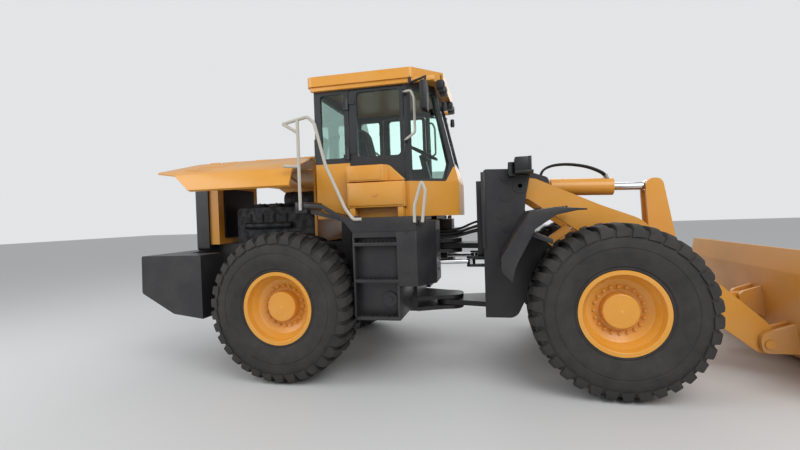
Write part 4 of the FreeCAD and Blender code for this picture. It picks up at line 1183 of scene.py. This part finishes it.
@dataclass
class Hydraulics:
    """Hydraulic hoses with crimped fittings, and the bucket's worn cutting edge."""

    radius: float = 0.014
    nut_share: float = 1.45
    collar_share: float = 1.22
    tilt_y: tuple[float, ...] = (0.035, -0.035)
    joint_rows: tuple[Point, ...] = ((0.26, 1.620, 0.11), (0.31, 1.565, 0.09), (0.36, 1.510, 0.07))
    drops: tuple[tuple[float, float], ...] = (
        (-1.083, 0.0), (-1.010, 0.0), (-0.920, 0.3), (-0.810, 0.75), (-0.690, 1.0),
        (-0.570, 1.0), (-0.450, 0.75), (-0.340, 0.3), (-0.250, 0.0), (-0.177, 0.0),
    )

    def line(self, route: list[Point]) -> list[Point]:
        """Read the points that a tube follows from its route's smooth line.

        Args:
            route: Control points of the line.

        Returns:
            Points along the smooth line.
        """
        data = sweep("route", [route], 8)
        points = [tuple(v.co) for v in data.vertices]
        bpy.data.meshes.remove(data)
        return points

    def hose(self, name: str, body: str, route: list[Point], also: str = "") -> None:
        """Lay one hose with a fitting at each end.

        Args:
            name: Name of the hose.
            body: CAD body that it rides on.
            route: Control points of its line.
            also: Body that its far end follows, where it crosses a joint.
        """
        points = self.line(route)
        made = tube(name, body, "plastic_black", "hose_rubber", [route], self.radius, 3)
        if also:
            made.parent = None
            del made["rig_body"]
            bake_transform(made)
        for label, rider, tip, near in (("root", body, 0, 1), ("head", also or body, -1, -2)):
            shape = Shape()
            start = Vector(points[tip])
            way = (Vector(points[near]) - start).normalized()
            shape.rod(start - way * 0.030, start + way * 0.012, self.radius * self.nut_share, 6)
            shape.rod(start + way * 0.010, start + way * 0.060, self.radius * self.collar_share, 20)
            shape.piece(f"{name}_{label}", rider, "plastic_black", "zinc_plate")

    def build(self) -> None:
        """Lay the hoses and edge the bucket."""
        for index, y in enumerate(self.tilt_y):
            self.hose(f"tilt_hose_{index}", "tilt_barrel", [
                (0.500, y, 2.085), (0.500, y, 2.150), (0.540, y, 2.215), (0.640, y, 2.255),
                (0.770, y, 2.262), (0.900, y, 2.248), (1.040, y, 2.215), (1.160, y, 2.160),
                (1.225, y, 2.110), (1.240, y, 2.060),
            ])
        for index, (y, z, sag) in enumerate(self.joint_rows):
            for side in Side:
                route = [(x, y * side.value, z - sag * drop) for x, drop in self.drops]
                self.hose(f"joint_hose_{index}_{side.name.lower()}", "rear_frame", route,
                          "front_frame")
        shape = Shape()
        shape.box((3.860, -1.500, 0.004), (4.020, 1.500, 0.034), 0.006)
        shape.piece("cutting_edge", "bucket", "bucket_paint", "worn_edge_steel")


@dataclass
class Tyre:
    """Wide earthmover tyre: ribbed sidewalls and two rows of slanting lugs that meet at the crown."""

    wheel: str
    centre: Point
    crown: float = 0.790
    lug_depth: float = 0.036
    half_width: float = 0.2975
    bead: float = 0.386
    lugs: int = 34
    slant: float = 0.075
    lug_width: float = 0.078

    def carcass(self, shape: Shape) -> None:
        """Spin the casing with its bead, bulged sidewall, rings and crown.

        Args:
            shape: Mesh that gets the casing.
        """
        base = self.crown - self.lug_depth
        half = [
            (0.246, self.bead - 0.012), (0.262, self.bead + 0.006), (0.258, self.bead + 0.022),
            (0.272, self.bead + 0.034), (0.276, self.bead + 0.052), (0.288, self.bead + 0.085),
            (0.2945, 0.520), (0.2965, 0.552), (0.2965, 0.566), (0.2925, 0.570), (0.2925, 0.580),
            (0.2965, 0.584), (0.2955, 0.620), (0.290, 0.660), (0.286, 0.668), (0.286, 0.690),
            (0.272, 0.722), (0.236, base - 0.012), (0.16, base - 0.003),
        ]
        section = [(-y, r) for y, r in half] + [(0.0, base)] + [(y, r) for y, r in reversed(half)]
        section += [(0.225, self.bead - 0.030), (-0.225, self.bead - 0.030), section[0]]
        shape.lathe(section, (0, 0, 0), Axis.Y, steps=96)

    def lug(self, shape: Shape) -> None:
        """Shape the first lug from a block, bent over the shoulder and slanted along its length.

        Args:
            shape: Empty mesh that gets the lug.
        """
        low, high = self.crown - 0.115, self.crown
        shape.box((-self.lug_width / 2, -0.012, low), (self.lug_width / 2, self.half_width, high))
        long_edges = [e for e in shape.mesh.edges if abs(e.verts[0].co.y - e.verts[1].co.y) > 0.2]
        bmesh.ops.subdivide_edges(shape.mesh, edges=long_edges, cuts=4, use_grid_fill=True)
        for vert in shape.mesh.verts:
            reach = max(vert.co.y, 0.0) / self.half_width
            top = vert.co.z > self.crown - 0.01
            vert.co.x *= (0.86 if top else 1.16) * (0.80 + 0.42 * reach)
            vert.co.x += self.slant * reach * (1.4 - 0.6 * reach)
            if top:
                vert.co.z -= 0.006 * reach * reach + max(reach - 0.72, 0.0) * 0.13
            if reach > 0.9:
                vert.co.y -= 0.010 if top else 0.0
        shape.mesh.normal_update()
        for face in shape.mesh.faces:
            face.material_index = 1 if abs(face.normal.z) > 0.5 else 0
        rim = [e for e in shape.mesh.edges
               if e.calc_face_angle(0.0) > 0.6 and min(v.co.z for v in e.verts) > low + 0.02]
        bmesh.ops.bevel(shape.mesh, geom=rim, offset=0.005, segments=1, profile=0.5, affect="EDGES",
                        material=-1)

    def build(self) -> bpy.types.Object:
        """Build the whole tyre in place of its plain solid.

        Returns:
            The tyre.
        """
        shape = Shape()
        self.lug(shape)
        pitch = math.tau / self.lugs
        bmesh.ops.spin(shape.mesh, geom=shape.whole(), cent=(0, 0, 0), axis=(0, 1, 0), dvec=(0, 0, 0),
                       angle=math.tau - pitch, steps=self.lugs - 1, use_duplicate=True)
        shape.turn(shape.copy(), (0, 0, 0), Axis.Y, math.degrees(pitch / 2))
        self.carcass(shape)
        shape.move(self.centre)
        made = shape.piece("tread_" + self.wheel, "wheel_" + self.wheel, "tyre", "moulded_rubber",
                           "tread_rubber")
        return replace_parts(made, "tyre_" + self.wheel)


@dataclass
class Wheels:
    """Four wheels: tyres, and the nuts of each rim."""

    front_x: float = 1.025
    rear_x: float = -2.275
    axle_z: float = 0.790
    track_y: float = 1.125
    nuts: int = 20
    nut_circle: float = 0.215
    nut_face_y: float = 0.078
    nut_radius: float = 0.017
    stud_radius: float = 0.009

    def build(self) -> None:
        """Build every wheel's pieces."""
        for end, x in (("front", self.front_x), ("rear", self.rear_x)):
            for side in Side:
                wheel = f"{end}_{side.name.lower()}"
                centre = (x, self.track_y * side.value, self.axle_z)
                Tyre(wheel, centre).build()
                self.nuts_on(wheel, centre, side)

    def nuts_on(self, wheel: str, centre: Point, side: Side) -> None:
        """Set the wheel nuts round the hub, with their studs.

        Args:
            wheel: Name of the wheel.
            centre: Middle of the wheel.
            side: Side of the machine.
        """
        shape = Shape()
        y = self.nut_face_y
        for index in range(self.nuts):
            verts = shape.rod((0, y - 0.004, self.nut_circle), (0, y + 0.020, self.nut_circle),
                              self.nut_radius, 6)
            verts += shape.rod((0, y + 0.018, self.nut_circle), (0, y + 0.032, self.nut_circle),
                               self.stud_radius, 8)
            shape.turn(verts, (0, 0, 0), Axis.Y, 360 / self.nuts * index)
        shape.face_side(side)
        shape.move(centre)
        shape.piece("wheel_nuts_" + wheel, "wheel_" + wheel, "orange_paint", "orange_enamel")


@dataclass
class DriverSeat:
    """Sprung seat: a padded cushion and back with sewn channels, on its pedestal."""

    back_tilt: float = 12.0
    pull: float = 0.012
    channels: int = 4
    crown: float = 0.035

    def pad(self, low: Point, high: Point) -> Shape:
        """Make one crowned pad with pinched seams.

        Args:
            low: Lowest corner.
            high: Highest corner.

        Returns:
            The pad.
        """
        shape = Shape()
        shape.box(low, high)
        bmesh.ops.subdivide_edges(shape.mesh, edges=shape.mesh.edges, cuts=15, use_grid_fill=True)
        middle = (Vector(low) + Vector(high)) / 2
        half = (Vector(high) - Vector(low)) / 2
        for vert in shape.mesh.verts:
            away = [(vert.co[i] - middle[i]) / half[i] for i in range(3)]
            crown = (1 - away[0] ** 2 * 0.9) * (1 - away[1] ** 2 * 0.9)
            vert.co.z += (crown - 0.55) * self.crown * (1 if away[2] > 0 else 0.2)
            channel = abs(math.cos(away[1] * math.pi * self.channels / 2))
            vert.co.z -= self.pull * max(0.0, 1 - channel * 6) * (away[2] > 0.9)
            squeeze = 1 - 0.10 * (abs(away[0] * away[1]) ** 3)
            vert.co.x = middle.x + (vert.co.x - middle.x) * squeeze
            vert.co.y = middle.y + (vert.co.y - middle.y) * squeeze
        bmesh.ops.smooth_vert(shape.mesh, verts=shape.mesh.verts, factor=0.5, use_axis_x=True,
                              use_axis_y=True, use_axis_z=True)
        return shape

    def build(self) -> None:
        """Build the seat in place of its plain solid."""
        low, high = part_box("seat")
        cushion = self.pad((low.x + 0.06, low.y + 0.01, low.z), (high.x, high.y - 0.01, low.z + 0.13))
        back = self.pad((-0.31, low.y + 0.01, 0.0), (0.31, high.y - 0.01, 0.11))
        back.turn(back.mesh.verts, (0, 0, 0), Axis.Y, 90 - self.back_tilt)
        back.move((low.x + 0.05, 0, low.z + 0.42))
        data = bpy.data.meshes.new("seat_back_part")
        back.mesh.to_mesh(data)
        back.mesh.free()
        cushion.mesh.from_mesh(data)
        bpy.data.meshes.remove(data)
        made = cushion.piece("driver_seat", "rear_frame", "seat_cloth", "woven_seat_cloth")
        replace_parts(made, "seat")


@dataclass
class Dress:
    """Finishes of the solids that keep their shape."""

    finishes: dict[str, str] = field(default_factory=lambda: {
        "orange_paint": "orange_enamel", "dark_paint": "charcoal_enamel", "bucket_paint": "bucket_enamel",
        "cab_paint": "cab_charcoal_enamel", "tyre": "moulded_rubber", "glass": "tinted_float_glass",
        "cast_dark": "cast_iron", "rod_chrome": "chrome_plate", "seat_cloth": "woven_seat_cloth",
        "plastic_black": "black_plastic",
    })

    def build(self) -> None:
        """Give each solid the finish of its slot."""
        slots = {row["node"]: row["material_slot"] for row in frame["record"]["subparts"]}
        for name, solid in frame["nodes"].items():
            PAINT.coat(solid, self.finishes[slots[name]])
            solid.data.set_sharp_from_angle(angle=SOLID_SHARP_ANGLE)


@dataclass
class Studio:
    """Pale floor and backdrop, soft lamps, and the camera of the photograph."""

    eye: Point = (-0.0526, -5.4056, 1.690)
    yaw: float = -12.48
    pitch: float = -0.977
    roll: float = -1.894
    focal: float = 427.66
    width: float = 800.0
    sensor: float = 36.0
    floor_size: float = 60.0
    lit: Point = (-0.2, 0.0, 1.0)

    def camera(self) -> None:
        """Set the camera at the photograph's place and angle."""
        yaw, pitch, roll = (math.radians(a) for a in (self.yaw, self.pitch, self.roll))
        ahead = Vector((math.sin(yaw) * math.cos(pitch), math.cos(yaw) * math.cos(pitch), math.sin(pitch)))
        right = Vector((math.cos(yaw), -math.sin(yaw), 0))
        up = right.cross(ahead)
        across = right * math.cos(roll) + up * math.sin(roll)
        above = up * math.cos(roll) - right * math.sin(roll)
        lens = bpy.data.cameras.new("camera")
        lens.sensor_width = self.sensor
        lens.lens = self.focal * self.sensor / self.width
        lens.clip_end = 200
        view = place_in_scene("camera", lens)
        view.matrix_world = Matrix((
            (across.x, above.x, -ahead.x, self.eye[0]), (across.y, above.y, -ahead.y, self.eye[1]),
            (across.z, above.z, -ahead.z, self.eye[2]), (0, 0, 0, 1),
        ))
        bpy.context.scene.camera = view

    def ground(self) -> None:
        """Lay the floor, shown as a plain pale ground."""
        shape = Shape()
        bmesh.ops.create_grid(shape.mesh, x_segments=1, y_segments=1, size=self.floor_size)
        data = bpy.data.meshes.new("floor")
        shape.mesh.to_mesh(data)
        shape.mesh.free()
        wiring = Wiring("pale_floor")
        wiring.set(Base_Color=srgb("CFCFCF"), Roughness=0.55)
        data.materials.append(wiring.made)
        place_in_scene("floor", data)

    def lamps(self) -> None:
        """Hang the soft lamps and set the even sky."""
        for name, place, size, power in (("key", (4.5, -7.5, 8.0), 7.0, 620.0),
                                         ("fill", (-8.0, -5.0, 5.0), 6.0, 260.0),
                                         ("back", (0.0, 8.0, 7.0), 9.0, 380.0)):
            light = bpy.data.lights.new(name, "AREA")
            light.size, light.energy = size, power
            lamp = place_in_scene(name, light)
            lamp.location = place
            aim = Vector(self.lit) - Vector(place)
            lamp.rotation_euler = aim.to_track_quat("-Z", "Y").to_euler()
        world = bpy.data.worlds.new("studio")
        bpy.context.scene.world = world
        world.use_nodes = True
        tree = world.node_tree
        path = node(tree, "ShaderNodeLightPath")
        rays = {0: path.outputs["Is Camera Ray"], 1: path.outputs["Is Transmission Ray"]}
        seen = node(tree, "ShaderNodeMath", rays, operation="MAXIMUM")
        tone = node(tree, "ShaderNodeMapRange", {"Value": seen.outputs[0]}, in_3=0.62, in_4=0.86)
        ground = tree.nodes["Background"]
        ground.inputs["Color"].default_value = srgb("F2F4F6")
        tree.links.new(tone.outputs[0], ground.inputs["Strength"])

    def build(self) -> None:
        """Set up the whole studio."""
        self.camera()
        self.ground()
        self.lamps()
        bpy.context.scene.view_settings.view_transform = "Standard"


def main() -> None:
    """Build every part of the scene in order."""
    logging.basicConfig(level=logging.INFO, format="%(message)s")
    for part in (Studio(), Dress(), Wheels(), DriverSeat(), Panels(), Fittings(), EngineBay(),
                 Hydraulics()):
        part.build()
        log.info("built %s", type(part).__name__)


if __name__ == "__main__":
    main()
